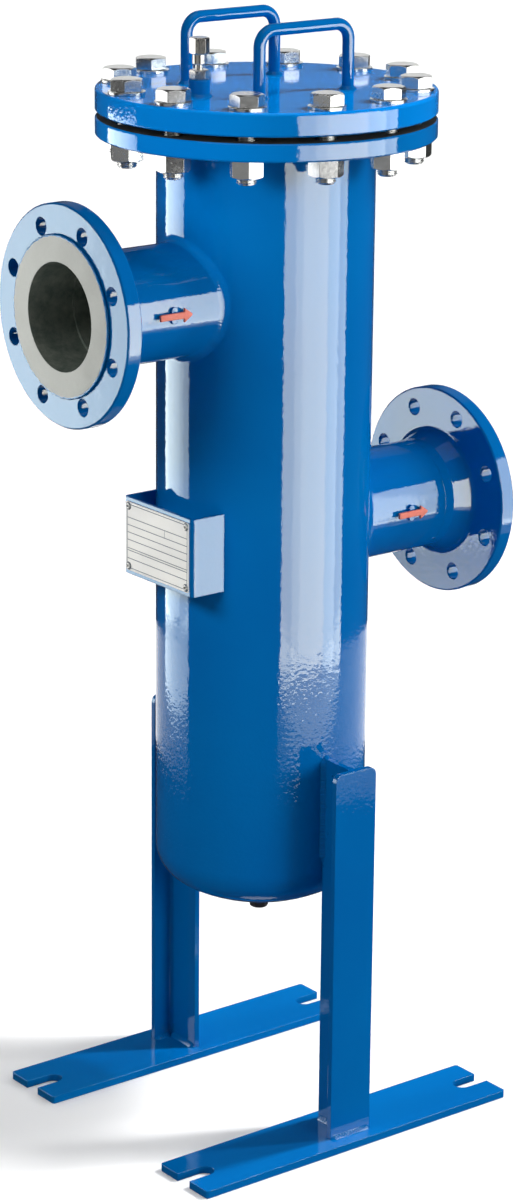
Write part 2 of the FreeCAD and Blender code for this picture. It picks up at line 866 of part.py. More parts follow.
def make_element_head():
    mouth_r = element_mouth_d / 2
    rim_top_z = seat_top_z + element_rim_h
    groove_top_z = seat_top_z - oring_below_rim
    groove_bottom_z = groove_top_z - oring_groove_w
    groove_r = oring_outer_r - oring_section_d
    profile = [
        (mouth_r, media_top_z),
        (support_r, media_top_z),
        (support_r, spigot_bottom_z),
        (spigot_r, spigot_bottom_z),
        (spigot_r, groove_bottom_z),
        (groove_r, groove_bottom_z),
        (groove_r, groove_top_z),
        (spigot_r, groove_top_z),
        (spigot_r, seat_top_z),
        (element_rim_d / 2, seat_top_z),
        (element_rim_d / 2, rim_top_z, element_rim_edge_r),
        (mouth_r, rim_top_z, element_mouth_edge_r),
    ]
    head = turned(profile)
    for side in (-1, 1):
        head = head.fuse(make_bail_lug(side))
    return head


def make_bail_lug(side):
    """Upright ear on the head's rim with a hole for the turned-out end of the bail."""
    rim_top_z = seat_top_z + element_rim_h
    near_y = side * (bail_half_span + bail_wire_d / 2 + bail_lug_gap)
    top_z = bail_axis_z + bail_lug_half_w
    outline = [
        (-bail_lug_half_w, rim_top_z),
        (bail_lug_half_w, rim_top_z),
        (bail_lug_half_w, top_z, bail_lug_half_w),
        (-bail_lug_half_w, top_z, bail_lug_half_w),
    ]
    lug = side_prism(outline, near_y, side * bail_lug_thickness)
    hole_r = bail_wire_d / 2 + bail_pin_clearance
    hole_near_y = near_y - side * cut_margin
    hole_far_y = near_y + side * (bail_lug_thickness + cut_margin)
    hole = round_rod(hole_r, Vector(0, hole_near_y, bail_axis_z), Vector(0, hole_far_y, bail_axis_z))
    return lug.cut(hole)


def make_element_bail():
    """Bow lying down on the head's rim towards +X, with both ends turned out through the ears."""
    end_y = bail_half_span + bail_end_length
    path = [
        Vector(0, -end_y, bail_axis_z),
        Vector(0, -bail_half_span, bail_axis_z),
        Vector(bail_reach, -bail_half_span, bail_axis_z),
        Vector(bail_reach, bail_half_span, bail_axis_z),
        Vector(0, bail_half_span, bail_axis_z),
        Vector(0, end_y, bail_axis_z),
    ]
    wire_r = bail_wire_d / 2
    tight_r = wire_r + bail_lug_gap
    bow = bent_rod(path, [tight_r, bail_bend_r, bail_bend_r, tight_r], wire_r)
    drop = bail_axis_above_rim - wire_r - bail_rest_gap
    bow.rotate(Vector(0, 0, bail_axis_z), Y_AXIS, math.degrees(math.asin(drop / bail_reach)))
    return bow


def make_element_oring():
    section_r = oring_section_d / 2
    centre_r = oring_outer_r - section_r
    centre_z = seat_top_z - oring_below_rim - oring_groove_w / 2
    return Part.makeTorus(centre_r, section_r, Vector(0, 0, centre_z), Z_AXIS)


def star_wire(tip_r, valley_r, z):
    """Closed zigzag of the pleats at one level."""
    points = []
    for index in range(2 * media_pleats):
        radius = tip_r if index % 2 == 0 else valley_r
        angle = math.pi * index / media_pleats
        points.append(Vector(radius * math.cos(angle), radius * math.sin(angle), z))
    points.append(points[0])
    return Part.makePolygon(points)


def make_element_media():
    tip_r = media_outer_d / 2
    valley_r = media_inner_d / 2
    outer = Part.Face(star_wire(tip_r, valley_r, media_bottom_z))
    inner = Part.Face(star_wire(tip_r - media_fold, valley_r - media_fold, media_bottom_z))
    height = Vector(0, 0, media_length)
    return outer.extrude(height).cut(inner.extrude(height))


def make_element_support():
    """Support tube with rows of upright slots."""
    inner_r = support_inner_d / 2
    tube = ring(support_r, inner_r, media_bottom_z, media_top_z)
    open_length = media_length - 2 * (potting_depth + support_slot_gap)
    pitch = (open_length + support_slot_gap) / support_slot_rows
    slot_length = pitch - support_slot_gap
    half_w = support_slot_w / 2
    slots = []
    for row in range(support_slot_rows):
        low_z = media_bottom_z + potting_depth + support_slot_gap + row * pitch
        for column in range(support_slot_columns // 2):
            outline = [
                (-half_w, low_z, half_w),
                (half_w, low_z, half_w),
                (half_w, low_z + slot_length, half_w),
                (-half_w, low_z + slot_length, half_w),
            ]
            cutter = side_prism(outline, -support_r - cut_margin, 2 * (support_r + cut_margin))
            cutter.rotate(ORIGIN, Z_AXIS, 360.0 * (column + 0.5) / support_slot_columns)
            slots.append(cutter)
    return tube.cut(slots)


def make_element_bottom():
    cap_r = bottom_cap_d / 2
    port_r = bypass_port_d / 2
    seat_r = port_r + bypass_seat_w
    web_top_z = bottom_cap_z + bottom_cap_web
    cup_z = bottom_cap_top_z - potting_depth
    profile = [
        (port_r, bottom_cap_z),
        (cap_r, bottom_cap_z, bottom_cap_edge_r),
        (cap_r, bottom_cap_top_z),
        (support_r, bottom_cap_top_z),
        (support_r, cup_z),
        (seat_r + bypass_seat_slope_w, cup_z),
        (seat_r, web_top_z),
        (port_r, web_top_z),
    ]
    return turned(profile)


def make_bypass_cage():
    """Turned cup with windows, hung under the lower cap, that guides the stem and holds the spring."""
    outer_r = cage_outer_d / 2
    inner_r = outer_r - cage_wall
    low_z = bottom_cap_z - cage_depth
    floor_z = low_z + cage_wall
    guide_r = bypass_stem_d / 2 + bypass_guide_clearance
    hub_r = bypass_stem_d / 2 + cage_hub_wall
    hub_z = floor_z + cage_hub_h
    profile = [
        (guide_r, low_z),
        (outer_r, low_z, cage_bend_r),
        (outer_r, bottom_cap_z - cage_wall),
        (cage_flange_d / 2, bottom_cap_z - cage_wall),
        (cage_flange_d / 2, bottom_cap_z),
        (inner_r, bottom_cap_z),
        (inner_r, floor_z, cage_inner_bend_r),
        (hub_r, floor_z),
        (hub_r, hub_z),
        (guide_r, hub_z),
    ]
    cage = turned(profile)
    half_w = cage_window_w / 2
    foot_z = floor_z + cage_window_foot
    head_z = bottom_cap_z - cage_window_head
    outline = [
        (-half_w, foot_z, cage_window_r),
        (half_w, foot_z, cage_window_r),
        (half_w, head_z, cage_window_r),
        (-half_w, head_z, cage_window_r),
    ]
    window = side_prism(outline, inner_r / 2, outer_r)
    windows = []
    for index in range(cage_windows):
        copy = window.copy()
        copy.rotate(ORIGIN, Z_AXIS, 360.0 * index / cage_windows)
        windows.append(copy)
    return cage.cut(windows)


def make_bypass_valve():
    disc_r = bypass_disc_d / 2
    disc_low_z = bottom_cap_z - bypass_disc_h
    stem_r = bypass_stem_d / 2
    stem_low_z = bottom_cap_z - cage_depth - bypass_stem_overhang
    profile = [
        (0, stem_low_z),
        (stem_r - edge_chamfer, stem_low_z),
        (stem_r, stem_low_z + edge_chamfer),
        (stem_r, disc_low_z),
        (disc_r, disc_low_z),
        (disc_r, bottom_cap_z),
        (0, bottom_cap_z),
    ]
    return turned(profile)


def make_bypass_spring():
    """Compression spring of flat wire between the cage floor and the poppet."""
    floor_z = bottom_cap_z - cage_depth + cage_wall
    disc_low_z = bottom_cap_z - bypass_disc_h
    free_height = disc_low_z - floor_z - spring_wire_axial - 2 * spring_seat_gap
    mean_r = spring_mean_d / 2
    helix = Part.makeHelix(free_height / spring_turns, free_height, mean_r)
    start_z = floor_z + spring_seat_gap + spring_wire_axial / 2
    helix.translate(Vector(0, 0, start_z))
    half_r = spring_wire_radial / 2
    half_a = spring_wire_axial / 2
    section = Part.makePolygon([
        Vector(mean_r - half_r, 0, start_z - half_a),
        Vector(mean_r + half_r, 0, start_z - half_a),
        Vector(mean_r + half_r, 0, start_z + half_a),
        Vector(mean_r - half_r, 0, start_z + half_a),
        Vector(mean_r - half_r, 0, start_z - half_a),
    ])
    return Part.Wire(helix).makePipeShell([section], True, True)


def save(node, shapes):
    """Write one sub-part, a solid or a list of separate solids, to its own file."""
    pieces = shapes if isinstance(shapes, list) else [shapes]
    solids = []
    for piece in pieces:
        solids.extend(piece.Solids)
    for solid in solids:
        if not solid.isValid() or solid.Volume <= 0:
            print("not a sound solid:", node)
    shape = solids[0] if len(solids) == 1 else Part.makeCompound(solids)
    shape.exportStep(os.path.join("parts", node + ".step"))
    print(node, len(solids), round(sum(solid.Volume for solid in solids)))


os.makedirs("parts", exist_ok=True)

save("shell", make_shell())
save("dished_bottom", make_dished_bottom())
save("shell_flange", make_shell_flange())
save("lid_gasket", make_lid_gasket())
save("element_seat", make_element_seat())

save("lid", make_lid())
save("lid_bolts", make_lid_bolts())
save("lid_washers", make_lid_washers())
save("lid_nuts", make_lid_nuts())
save("front_handle", make_handle(-handle_offset_y))
save("rear_handle", make_handle(handle_offset_y))

save("vent_boss", make_vent_boss())
save("vent_fitting", make_vent_fitting())
save("vent_plug", make_vent_plug())
save("vent_cap", make_vent_cap())

save("inlet_flange", make_nozzle_flange(Vector(-nozzle_face_x, 0, inlet_z), X_AXIS))
save("inlet_pipe", make_nozzle_pipe(-1, inlet_z))
save("outlet_flange", make_nozzle_flange(Vector(nozzle_face_x, 0, outlet_z), X_AXIS * -1))
save("outlet_pipe", make_nozzle_pipe(1, outlet_z))

save("inlet_arrow", make_arrow(inlet_arrow_x, inlet_z))
save("outlet_arrow", make_arrow(outlet_arrow_x, outlet_z))
save("arrow_lugs", [make_arrow_lug(inlet_arrow_x, inlet_z), make_arrow_lug(outlet_arrow_x, outlet_z)])

save("nameplate_bracket", make_nameplate_bracket())
save("nameplate", make_nameplate())
save("nameplate_rivets", make_nameplate_rivets())

save("front_leg", make_leg(-1))
save("rear_leg", make_leg(1))
save("front_foot", make_foot(-1))
save("rear_foot", make_foot(1))

save("drain_boss", make_drain_boss())
save("drain_seal", make_drain_seal())
save("drain_plug", make_drain_plug())

save("element_head", make_element_head())
save("element_bail", make_element_bail())
save("element_oring", make_element_oring())
save("element_media", make_element_media())
save("element_support", make_element_support())
save("element_bottom", make_element_bottom())
save("bypass_cage", make_bypass_cage())
save("bypass_valve", make_bypass_valve())
save("bypass_spring", make_bypass_spring())
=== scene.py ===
import math

import bmesh
import bpy
from mathutils import Matrix, Vector


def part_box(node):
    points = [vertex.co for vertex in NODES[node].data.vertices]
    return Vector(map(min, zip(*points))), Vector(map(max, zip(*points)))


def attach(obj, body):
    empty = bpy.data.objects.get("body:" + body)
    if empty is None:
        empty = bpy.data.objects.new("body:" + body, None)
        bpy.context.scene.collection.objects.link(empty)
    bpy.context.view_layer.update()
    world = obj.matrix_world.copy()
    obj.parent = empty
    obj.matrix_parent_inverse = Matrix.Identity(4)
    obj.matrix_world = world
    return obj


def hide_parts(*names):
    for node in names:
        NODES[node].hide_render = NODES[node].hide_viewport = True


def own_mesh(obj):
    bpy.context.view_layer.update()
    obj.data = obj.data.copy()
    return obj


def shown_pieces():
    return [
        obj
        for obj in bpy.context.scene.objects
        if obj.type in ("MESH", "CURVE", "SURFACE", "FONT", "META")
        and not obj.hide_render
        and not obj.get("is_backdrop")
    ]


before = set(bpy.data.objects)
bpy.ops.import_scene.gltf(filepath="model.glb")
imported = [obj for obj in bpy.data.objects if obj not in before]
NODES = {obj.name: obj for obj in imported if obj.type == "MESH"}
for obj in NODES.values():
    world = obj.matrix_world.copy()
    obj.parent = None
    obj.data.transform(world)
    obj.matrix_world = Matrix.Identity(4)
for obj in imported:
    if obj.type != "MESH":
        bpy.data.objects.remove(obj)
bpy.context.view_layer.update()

# All lengths are in metres and angles in degrees, in the frame of the CAD model.

UP = Vector((0, 0, 1))
DOWN = Vector((0, 0, -1))
X_AXIS = Vector((1, 0, 0))
Y_AXIS = Vector((0, 1, 0))
# The two legs and handles stand toward -Y and +Y, their two edges or feet toward -X and +X.
ENDS = ((-1, "front"), (1, "rear"))
HANDS = ((-1, "left"), (1, "right"))

# Camera, fitted to the photograph
PHOTO_LONG_SIDE = 1201.0
SENSOR_MM = 36.0
FOCAL_PIXELS = 3426.61
CAMERA_AZIMUTH = -37.77
CAMERA_ELEVATION = 17.18
CAMERA_ROLL = 0.53
CAMERA_DISTANCE = 3.54209
AIM_RIGHT = -0.00446
AIM_HEIGHT = 0.55117
CLIP_START = 0.05
CLIP_END = 100.0

# Sizes of the solids that the pieces here are set against
SHELL_RADIUS = 0.10955
INLET_Z = 0.882
OUTLET_Z = 0.634
NOZZLE_FACE_X = 0.250
NOZZLE_RAISED_RADIUS = 0.079
NOZZLE_BORE_RADIUS = 0.05355
SHELL_BOTTOM_Z = 0.308
FLANGE_UNDERSIDE_Z = 1.036
LID_TOP_Z = 1.083
FLANGE_TOP_Z = 1.054
LID_UNDERSIDE_Z = 1.060
FLANGE_RADIUS = 0.170
PIPE_RADIUS = 0.05715
HANDLE_HALF_SPAN = 0.055
HANDLE_Y = 0.059
HANDLE_BAR_RADIUS = 0.006
VENT_RADIUS = 0.093
VENT_ANGLE = 187.5
VENT_BOSS_RADIUS = 0.0105
DRAIN_BOSS_RADIUS = 0.015
DRAIN_BOSS_TOP_Z = 0.2273
LEG_DEPTH = 0.049
LEG_THICKNESS = 0.006
LEG_HALF_WIDTH = 0.026
LEG_TOP_Z = 0.410
FOOT_TOP_Z = 0.008
BRACKET_HALF_WIDTH = 0.058
BRACKET_BOTTOM_Z = 0.592
BRACKET_SHEET = 0.003
BRACKET_HEIGHT = 0.0805
ARROW_LENGTH = 0.038
ARROW_SHAFT = 0.0065
ARROW_HEAD = 0.0145
ARROW_HEAD_LENGTH = 0.0095
ARROW_STAND = 0.003
ARROW_THICKNESS = 0.0032
INLET_ARROW_X = -0.156
OUTLET_ARROW_X = 0.150
PLATE_FACE_X = -0.134
PLATE_CENTRE_Z = 0.63225
PLATE_WIDTH = 0.106
PLATE_HEIGHT = 0.072
RIVET_Y = 0.0485
RIVET_Z = 0.0315
BOLT_COUNT = 12
BOLT_CIRCLE_RADIUS = 0.1475
BOLT_SEAT_Z = 1.086
BOLT_RADIUS = 0.010
BOLT_ACROSS = 0.030
BOLT_HEAD_H = 0.0125
BOLT_LENGTH = 0.075

# Detail that only the pieces here have
RULE_HALF = 0.00036
RULE_LIFT = 0.00006
RULE_SINK = 0.00002
RULE_SHARES = (0.0, 0.207, 0.324, 0.44, 0.557, 0.688, 0.724, 0.85, 1.0)
RULE_MARGIN_Y = 0.0022
RULE_MARGIN_Z = 0.0026
DIVIDER_Y = (-0.0132, -0.0128)
# Profiles of turned shapes: radius, then height along the axis
EYELET_RING = ((0.0014, -0.0003), (0.0014, 0.0010), (0.0018, 0.0015), (0.0024, 0.0014), (0.0030, 0.0008),
               (0.0032, 0.0002), (0.0032, -0.0003))
# A near-black dome in each eyelet's centre, painted shade of its hollow
EYELET_HOLE_SHADE = ((0.0005, 0.0005), (0.0011, 0.0004), (0.0014, 0.0001), (0.0014, -0.0002))
# A dark ring round each eyelet, painted shadow at its rim
EYELET_SHADOW_RING = ((0.0031, -0.0002), (0.0031, 0.00008), (0.0040, 0.00008), (0.0040, -0.0002))
THREAD_PITCH = 0.0025
THREAD_DEPTH = 0.0013
THREAD_START = 0.005
THREAD_FLANK = 2.6
THREAD_ROOT = 0.15
THREAD_POINT = 0.0018
THREAD_POINT_DEPTH = 0.0012
THREAD_STEPS = 6
BOLT_COLUMNS = 36
BOLT_END_SHARE = 0.6
HEAD_SWING = 0.9
HEAD_FACE_SHARE = 0.94
HEAD_CHAMFER_SLOPE = 0.577
HEAD_STEP = 0.0007
HEAD_TOP_RINGS = ((0.35, -0.0002), (0.93, 0.0), (1.0, -0.0003))
WASHER_FACE_RINGS = ((0.96, 0.0006), (0.95, 0.0))
SHANK_RINGS = ((0.0002, 0.0), (-0.0003, -0.003))
SERRATION_PITCH = 0.0009
SERRATION_DEPTH = 0.00003
FACE_SEGMENTS = 144
FACE_SKIN = 0.00006
FACE_ROOT = 0.0003
FACE_INNER_GAP = 0.0002
FACE_OUTER_GAP = 0.0016
FACE_PULL = 0.0004
PAINT_EDGE_PROFILE = ((0.0, -0.0024), (0.0011, -0.0022), (0.0013, -0.0012), (0.0007, -0.0003),
                      (-0.0003, 0.00004), (-0.0006, -0.0004))
PAINT_EDGE_SEGMENTS = 300
PAINT_EDGE_LUMP = 0.00026
WELD_STEPS = 8
WELD_SPACING = 0.0009
WELD_SINK = 0.00015
WELD_DRIFT = 0.00022
WELD_PITCH = 0.0034
WELD_RIPPLE = 0.00028
WELD_BOW = 0.45
WELD_FULLNESS = 0.52
WELD_END_SHARE = 0.12
FLANGE_LEG = 0.0060
LID_LEG = 0.0037
LID_FULLNESS = 0.42
BOSS_LEG = 0.0030
BOSS_PITCH = 0.0026
BOSS_RIPPLE = 0.0002
DRAIN_LEG = 0.0032
WEB_LEG = 0.0042
FOOT_LEG = 0.0045
CAP_LEG = 0.0060
OUTER_LEG = 0.0040
BRACKET_LEG = 0.0035
BRACKET_WELD_END = 0.002
WEB_WELD_BOTTOM_Z = 0.300
WEB_WELD_GAP = 0.0003
SADDLE_LEG = 0.0072
SADDLE_FULLNESS = 0.03
SADDLE_SINK = 0.00006
SADDLE_RIPPLE = 0.00007
SEAM_STEP = 0.01
DROP_COUNT = 9
DROP_SEGMENTS = 12
DROP_RINGS = (-10, 20, 50, 78)
DROP_HEIGHT_SHARE = 0.8
# Each large drop: reach from the shell, height, radius.
LARGE_DROPS = ((0.0012, 0.3106, 0.0015), (0.0006, 0.2991, 0.0017), (0.0012, 0.2926, 0.0013),
               (0.0046, 0.3232, 0.0012))
ARROW_TIP_LENGTH = 0.0006
ARROW_TIP_HALF = 0.0012
ARROW_ROUNDING = 0.0007
SPRING_TURNS = 5.0
SPRING_WIRE_RADIAL = 0.0030
SPRING_WIRE_AXIAL = 0.0024
SPRING_TURN_STEPS = 40
SPRING_RING = 12
SPRING_END_SHARE = 0.13
SPRING_END_RISE = 0.06
SPRING_SQUARENESS = 0.6
SPRING_GROUND_FROM = 0.82
SPRING_GROUND_SHARE = 0.35

# Stage and lamps
AREA_LAMP_WATTS = math.pi
PAINT_LEVEL = 21.0
PLAIN_TINT = (1.0, 1.0, 1.0)
WARM_TINT = (1.03, 1.03, 0.85)
EDGE_TINT = (0.98, 1.08, 1.02)
COOL_TINT = (1.05, 1.25, 1.30)
# Each panel: first and last bearing from the camera's, lowest and highest point, share of the level,
# distance, tint.
PAINT_PANELS = (
    (19.5, 31.0, 0.12, 1.22, 0.66, 1.25, WARM_TINT),
    (31.0, 39.0, 0.12, 1.22, 0.84, 1.25, WARM_TINT),
    (39.0, 67.0, 0.12, 1.22, 1.00, 1.25, WARM_TINT),
    (67.0, 81.0, 0.12, 1.22, 0.80, 1.25, EDGE_TINT),
    (81.0, 91.5, 0.12, 1.22, 0.52, 1.25, EDGE_TINT),
    (19.5, 91.5, 0.00, 0.12, 0.20, 1.25, WARM_TINT),
    (-125.0, -112.0, 0.30, 0.878, 0.42, 1.25, COOL_TINT),
    (-112.0, -97.0, 0.30, 0.878, 0.46, 1.25, COOL_TINT),
    (-97.0, -91.0, 0.30, 0.878, 0.38, 1.25, COOL_TINT),
    (-91.0, -81.0, 0.30, 0.60, 0.30, 1.25, COOL_TINT),
    (-125.0, -97.0, 0.17, 0.30, 0.40, 1.25, COOL_TINT),
    (-97.0, -81.0, 0.17, 0.30, 0.30, 1.25, COOL_TINT),
    (-125.0, -81.0, 0.04, 0.17, 0.24, 1.25, COOL_TINT),
    (130.0, 230.0, 1.12, 2.2, 0.0075, 1.5, PLAIN_TINT),
)
BARE_PANELS = (
    (20.0, 91.5, 0.04, 1.6, 2.6, 1.25, PLAIN_TINT),
    (-125.0, -82.0, 0.04, 1.5, 1.9, 1.25, PLAIN_TINT),
    (-60.0, -5.0, 0.04, 1.4, 0.22, 0.70, PLAIN_TINT),
    (120.0, 240.0, 1.12, 2.2, 0.75, 1.5, PLAIN_TINT),
)
# Level panels that face down: one near the floor and two overhead
FLOOR_PANEL_SIZE = (0.9, 0.35)
FLOOR_PANEL_BEARING = 84.0
FLOOR_PANEL_DISTANCE = 1.05
FLOOR_PANEL_Z = 0.002
FLOOR_PANEL_SHARE = 0.2
TOP_PANEL_SIZE = (1.3, 1.3)
TOP_PANEL_SPOT = Vector((-0.2, -0.3, 2.7))
TOP_PAINT_SHARE = 0.03
TOP_BARE_LEVEL = 2.0
# Each sun: name, azimuth from the -Y side toward +X, elevation, strength, spread.
SUNS = (
    ("front", 10.0, 12.0, 1.42, 24.0),
    ("side", 95.0, 35.0, 0.55, 30.0),
    ("fill", -98.0, 35.0, 0.85, 14.0),
    ("top", 0.0, 88.0, 0.28, 60.0),
    ("back", 165.0, 25.0, 0.65, 30.0),
)
WALLS = ("shell", "dished_bottom")
# Suns that light a few pieces alone: a label, the pieces, and the suns as above.
PIECE_SUNS = (
    ("decks", ("lid", "rear_foot"), (
        ("deck_low", 61.0, 34.0, 0.55, 3.0),
        ("deck_middle", 61.0, 46.0, 1.2, 3.0))),
    ("lid_alone", ("lid",), (
        ("lid_high", 61.0, 60.0, 2.7, 3.0),)),
    ("rear_foot_alone", ("rear_foot",), (
        ("rear_high", 61.0, 58.0, 1.0, 3.0),)),
    ("front_foot_alone", ("front_foot",), (
        ("front_low", 84.0, 40.0, 1.5, 6.0),
        ("front_high", 84.0, 58.0, 1.25, 6.0))),
    ("walls_alone", WALLS, (
        ("wall_front", 20.0, 12.0, 1.42, 24.0),
        ("wall_fill", -98.0, 35.0, 0.42, 14.0))),
    ("floor_alone", ("studio_floor",), (
        ("floor_key", 61.0, 50.0, 1.9, 10.0),)),
)
KEY_AZIMUTH = 61.0
KEY_DISTANCE = 2.2
KEY_HEIGHT = 2.3
KEY_SIZE = (0.20, 2.3)
KEY_WATTS = 52.0
UPPER_LAMP_WATTS = 6.3
UPPER_LAMP_SIZE = (0.5, 0.3)
UPPER_LAMP_AZIMUTH = -80.0
UPPER_LAMP_DISTANCE = 0.95
UPPER_LAMP_HEIGHT = 1.22
UPPER_LAMP_TILT = 0.25
UPPER_LAMP_PIECES = WALLS + ("shell_flange", "lid", "inlet_saddle_weld", "flange_weld")
FLOOR_GLOW = 0.14
FLOOR_HALF_SIDE = 80
FLOOR_Z = -0.0005
WORLD_LEVEL = 0.10
FLOOR_PALE = (0.88, 0.88, 0.88, 1.0)
FLOOR_BOUNCE = (0.36, 0.36, 0.36, 1.0)
# Each dark card: name, first and last bearing, radius at its low and its high edge, the edges' heights.
FLAG_CARDS = (
    ("dark_flags_round", 0.0, 360.0, 1.7, 1.7, 0.0, 2.8),
    ("dark_flags_top", 0.0, 360.0, 0.02, 1.7, 2.8, 2.8),
    ("dark_flags_front", -80.5, 17.0, 0.75, 0.75, 0.0, 1.15),
    ("dark_flags_low", 17.0, 66.0, 0.75, 0.75, 0.0, 0.17),
    ("dark_flags_floor", 0.0, 360.0, 0.05, 1.15, 0.0006, 0.0006),
)
FLAG_RADIANCE = 0.03
FLAG_STEP = 7.5
FLAG_LEAST_STEPS = 8
SHOWN_RAYS = ("Is Camera Ray", "Is Glossy Ray", "Is Transmission Ray")
# The rays that a lamp is hidden from
UNSEEN = ("camera", "glossy", "transmission", "volume_scatter")
GLOSS_ONLY = ("camera", "diffuse", "transmission", "volume_scatter")

# Finishes: colours, index, and the scale and depth of their textures
PAINT_IOR = 1.33
PAINT_BLUE = (0.0, 0.141, 0.432, 1.0)
PAINT_DEEP = (0.0, 0.121, 0.400, 1.0)
BORE_DARK = (0.120, 0.155, 0.135, 1.0)
BORE_PALE = (0.30, 0.33, 0.28, 1.0)
# Near-black painted shade for the gap between flange and lid and for the flange's bore
GAP_SHADE_DARK = (0.022, 0.025, 0.028, 1.0)
GAP_SHADE_PALE = (0.060, 0.064, 0.066, 1.0)
PAINT_EDGE = (0.02, 0.17, 0.46, 1.0)
PAINT_BEVEL = 0.0012
CLOUD_SCALE = 5.0
WEAR_SCALE = 90.0
GLOSS_SCALE = 14.0
RUST_SCALE = 60.0
PEEL_SCALE = 260.0
PEEL_DEPTH = 0.0004
UPPER_PEEL = 0.16
PEEL_TOP_Z = 0.53
PEEL_BOTTOM_Z = 0.40
WAVE_SCALE = 42.0
WAVE_DEPTH = 0.0011
WAVE_STRENGTH = 0.12
PIT_SCALE = 420.0
PIT_DEPTH = 0.0006
BARE_ROUGHNESS = 0.62
METAL_CLOUD_SCALE = 28.0
METAL_EDGE_SHARE = 0.6
DULL_CLOUD_SCALE = 35.0
DULL_BEVEL = 0.0005
NOISE_SPREAD = (0.3, 0.7)
BEVEL_SAMPLES = 4
EDGE_LEAN = (0.98, 0.72)
# Margins and limits of the masks of bare metal, and of the painted shade in the flange's gap and bore
BORE_MARGIN = 0.0004
BOWL_MARGIN = 0.004
BOWL_RISE = 0.02
INWARD_LIMIT = -0.0001
GAP_MARGIN_Z = 0.0002
GAP_MARGIN_R = 0.0015


# Node helpers

def new_material(name):
    material = bpy.data.materials.new(name)
    material.use_nodes = True
    return material, material.node_tree


def set_inputs(tree, node, inputs):
    """Gives each input its value, or links it to the socket that feeds it."""
    for key, value in inputs.items():
        if isinstance(value, bpy.types.NodeSocket):
            tree.links.new(value, node.inputs[key])
        else:
            node.inputs[key].default_value = value


def add_node(tree, kind, settings=None, inputs=None):
    node = tree.nodes.new(kind)
    for key, value in (settings or {}).items():
        setattr(node, key, value)
    set_inputs(tree, node, inputs or {})
    return node


def feed(tree, inputs):
    """Sets or links the inputs of the material's own shader."""
    shader = next(node for node in tree.nodes if node.type == "BSDF_PRINCIPLED")
    set_inputs(tree, shader, inputs)


def math_node(tree, operation, first, second=None, third=None):
    values = [value for value in (first, second, third) if value is not None]
    settings = {"operation": operation}
    return add_node(tree, "ShaderNodeMath", settings, dict(enumerate(values))).outputs[0]


def vector_math(tree, operation, *values):
    node = add_node(tree, "ShaderNodeVectorMath", {"operation": operation}, dict(enumerate(values)))
    return node.outputs["Vector" if operation == "MULTIPLY" else "Value"]


def parts_of(tree, vector):
    return add_node(tree, "ShaderNodeSeparateXYZ", None, {"Vector": vector}).outputs


def distance_of(tree, first, second):
    """How far a point is from an axis, by its two offsets from it."""
    across = add_node(tree, "ShaderNodeCombineXYZ", None, {"X": first, "Y": second})
    return vector_math(tree, "LENGTH", across.outputs["Vector"])


def place(tree):
    return add_node(tree, "ShaderNodeTexCoord").outputs["Object"]


def surface_normal(tree):
    return add_node(tree, "ShaderNodeNewGeometry").outputs["Normal"]


def noise(tree, vector, scale, detail=3.0, roughness=0.5):
    inputs = {"Vector": vector, "Scale": scale, "Detail": detail, "Roughness": roughness}
    return add_node(tree, "ShaderNodeTexNoise", None, inputs).outputs["Fac"]


def remap(tree, value, low, high, out_low, out_high):
    inputs = {"Value": value, "From Min": low, "From Max": high, "To Min": out_low, "To Max": out_high}
    return add_node(tree, "ShaderNodeMapRange", None, inputs).outputs["Result"]


def mix_colour(tree, share, first, second):
    inputs = {0: share, 6: first, 7: second}
    return add_node(tree, "ShaderNodeMix", {"data_type": "RGBA"}, inputs).outputs[2]


def mix_normal(tree, share, first, second):
    inputs = {0: share, 4: first, 5: second}
    return add_node(tree, "ShaderNodeMix", {"data_type": "VECTOR"}, inputs).outputs[1]


def bump(tree, height, distance, strength=1.0, under=None):
    inputs = {"Height": height, "Distance": distance, "Strength": strength}
    if under is not None:
        inputs["Normal"] = under
    return add_node(tree, "ShaderNodeBump", None, inputs).outputs["Normal"]


def soft_edge(tree, radius):
    settings = {"samples": BEVEL_SAMPLES}
    return add_node(tree, "ShaderNodeBevel", settings, {"Radius": radius}).outputs["Normal"]


def edge_mask(tree, bevelled):
    """Near 1 at an edge and 0 on flat ground, from how far the bevelled normal leans."""
    dot = vector_math(tree, "DOT_PRODUCT", bevelled, surface_normal(tree))
    return remap(tree, dot, *EDGE_LEAN, 0.0, 1.0)


def any_shown_ray(tree):
    """1 for a ray that shows a surface, straight, in gloss or through glass; 0 for one that lights."""
    rays = add_node(tree, "ShaderNodeLightPath").outputs
    shown = rays[SHOWN_RAYS[0]]
    for ray in SHOWN_RAYS[1:]:
        shown = math_node(tree, "MAXIMUM", shown, rays[ray])
    return shown


def colour_of(red, green, blue):
    return (red, green, blue, 1.0)


WHITE = colour_of(1.0, 1.0, 1.0)


# Materials

def in_bore_of(height):
    """A mask that is 1 within the bore of the nozzle whose axis is at this height."""
    def mask(tree, spot):
        parts = parts_of(tree, spot)
        up = math_node(tree, "SUBTRACT", parts["Z"], height)
        radius = distance_of(tree, parts["Y"], up)
        return math_node(tree, "LESS_THAN", radius, NOZZLE_BORE_RADIUS + BORE_MARGIN)
    return mask


def in_vessel(tree, spot):
    """A mask that is 1 where the surface looks toward the inside of the vessel."""
    normal = surface_normal(tree)
    level_part = vector_math(tree, "MULTIPLY", normal, (1.0, 1.0, 0.0))
    toward = vector_math(tree, "DOT_PRODUCT", level_part, spot)
    normal_parts = parts_of(tree, normal)
    below = math_node(tree, "LESS_THAN", parts_of(tree, spot)["Z"], SHELL_BOTTOM_Z - BOWL_MARGIN)
    rising = math_node(tree, "GREATER_THAN", normal_parts["Z"], BOWL_RISE)
    bowl = math_node(tree, "MULTIPLY", below, rising)
    return math_node(tree, "MAXIMUM", math_node(tree, "LESS_THAN", toward, INWARD_LIMIT), bowl)


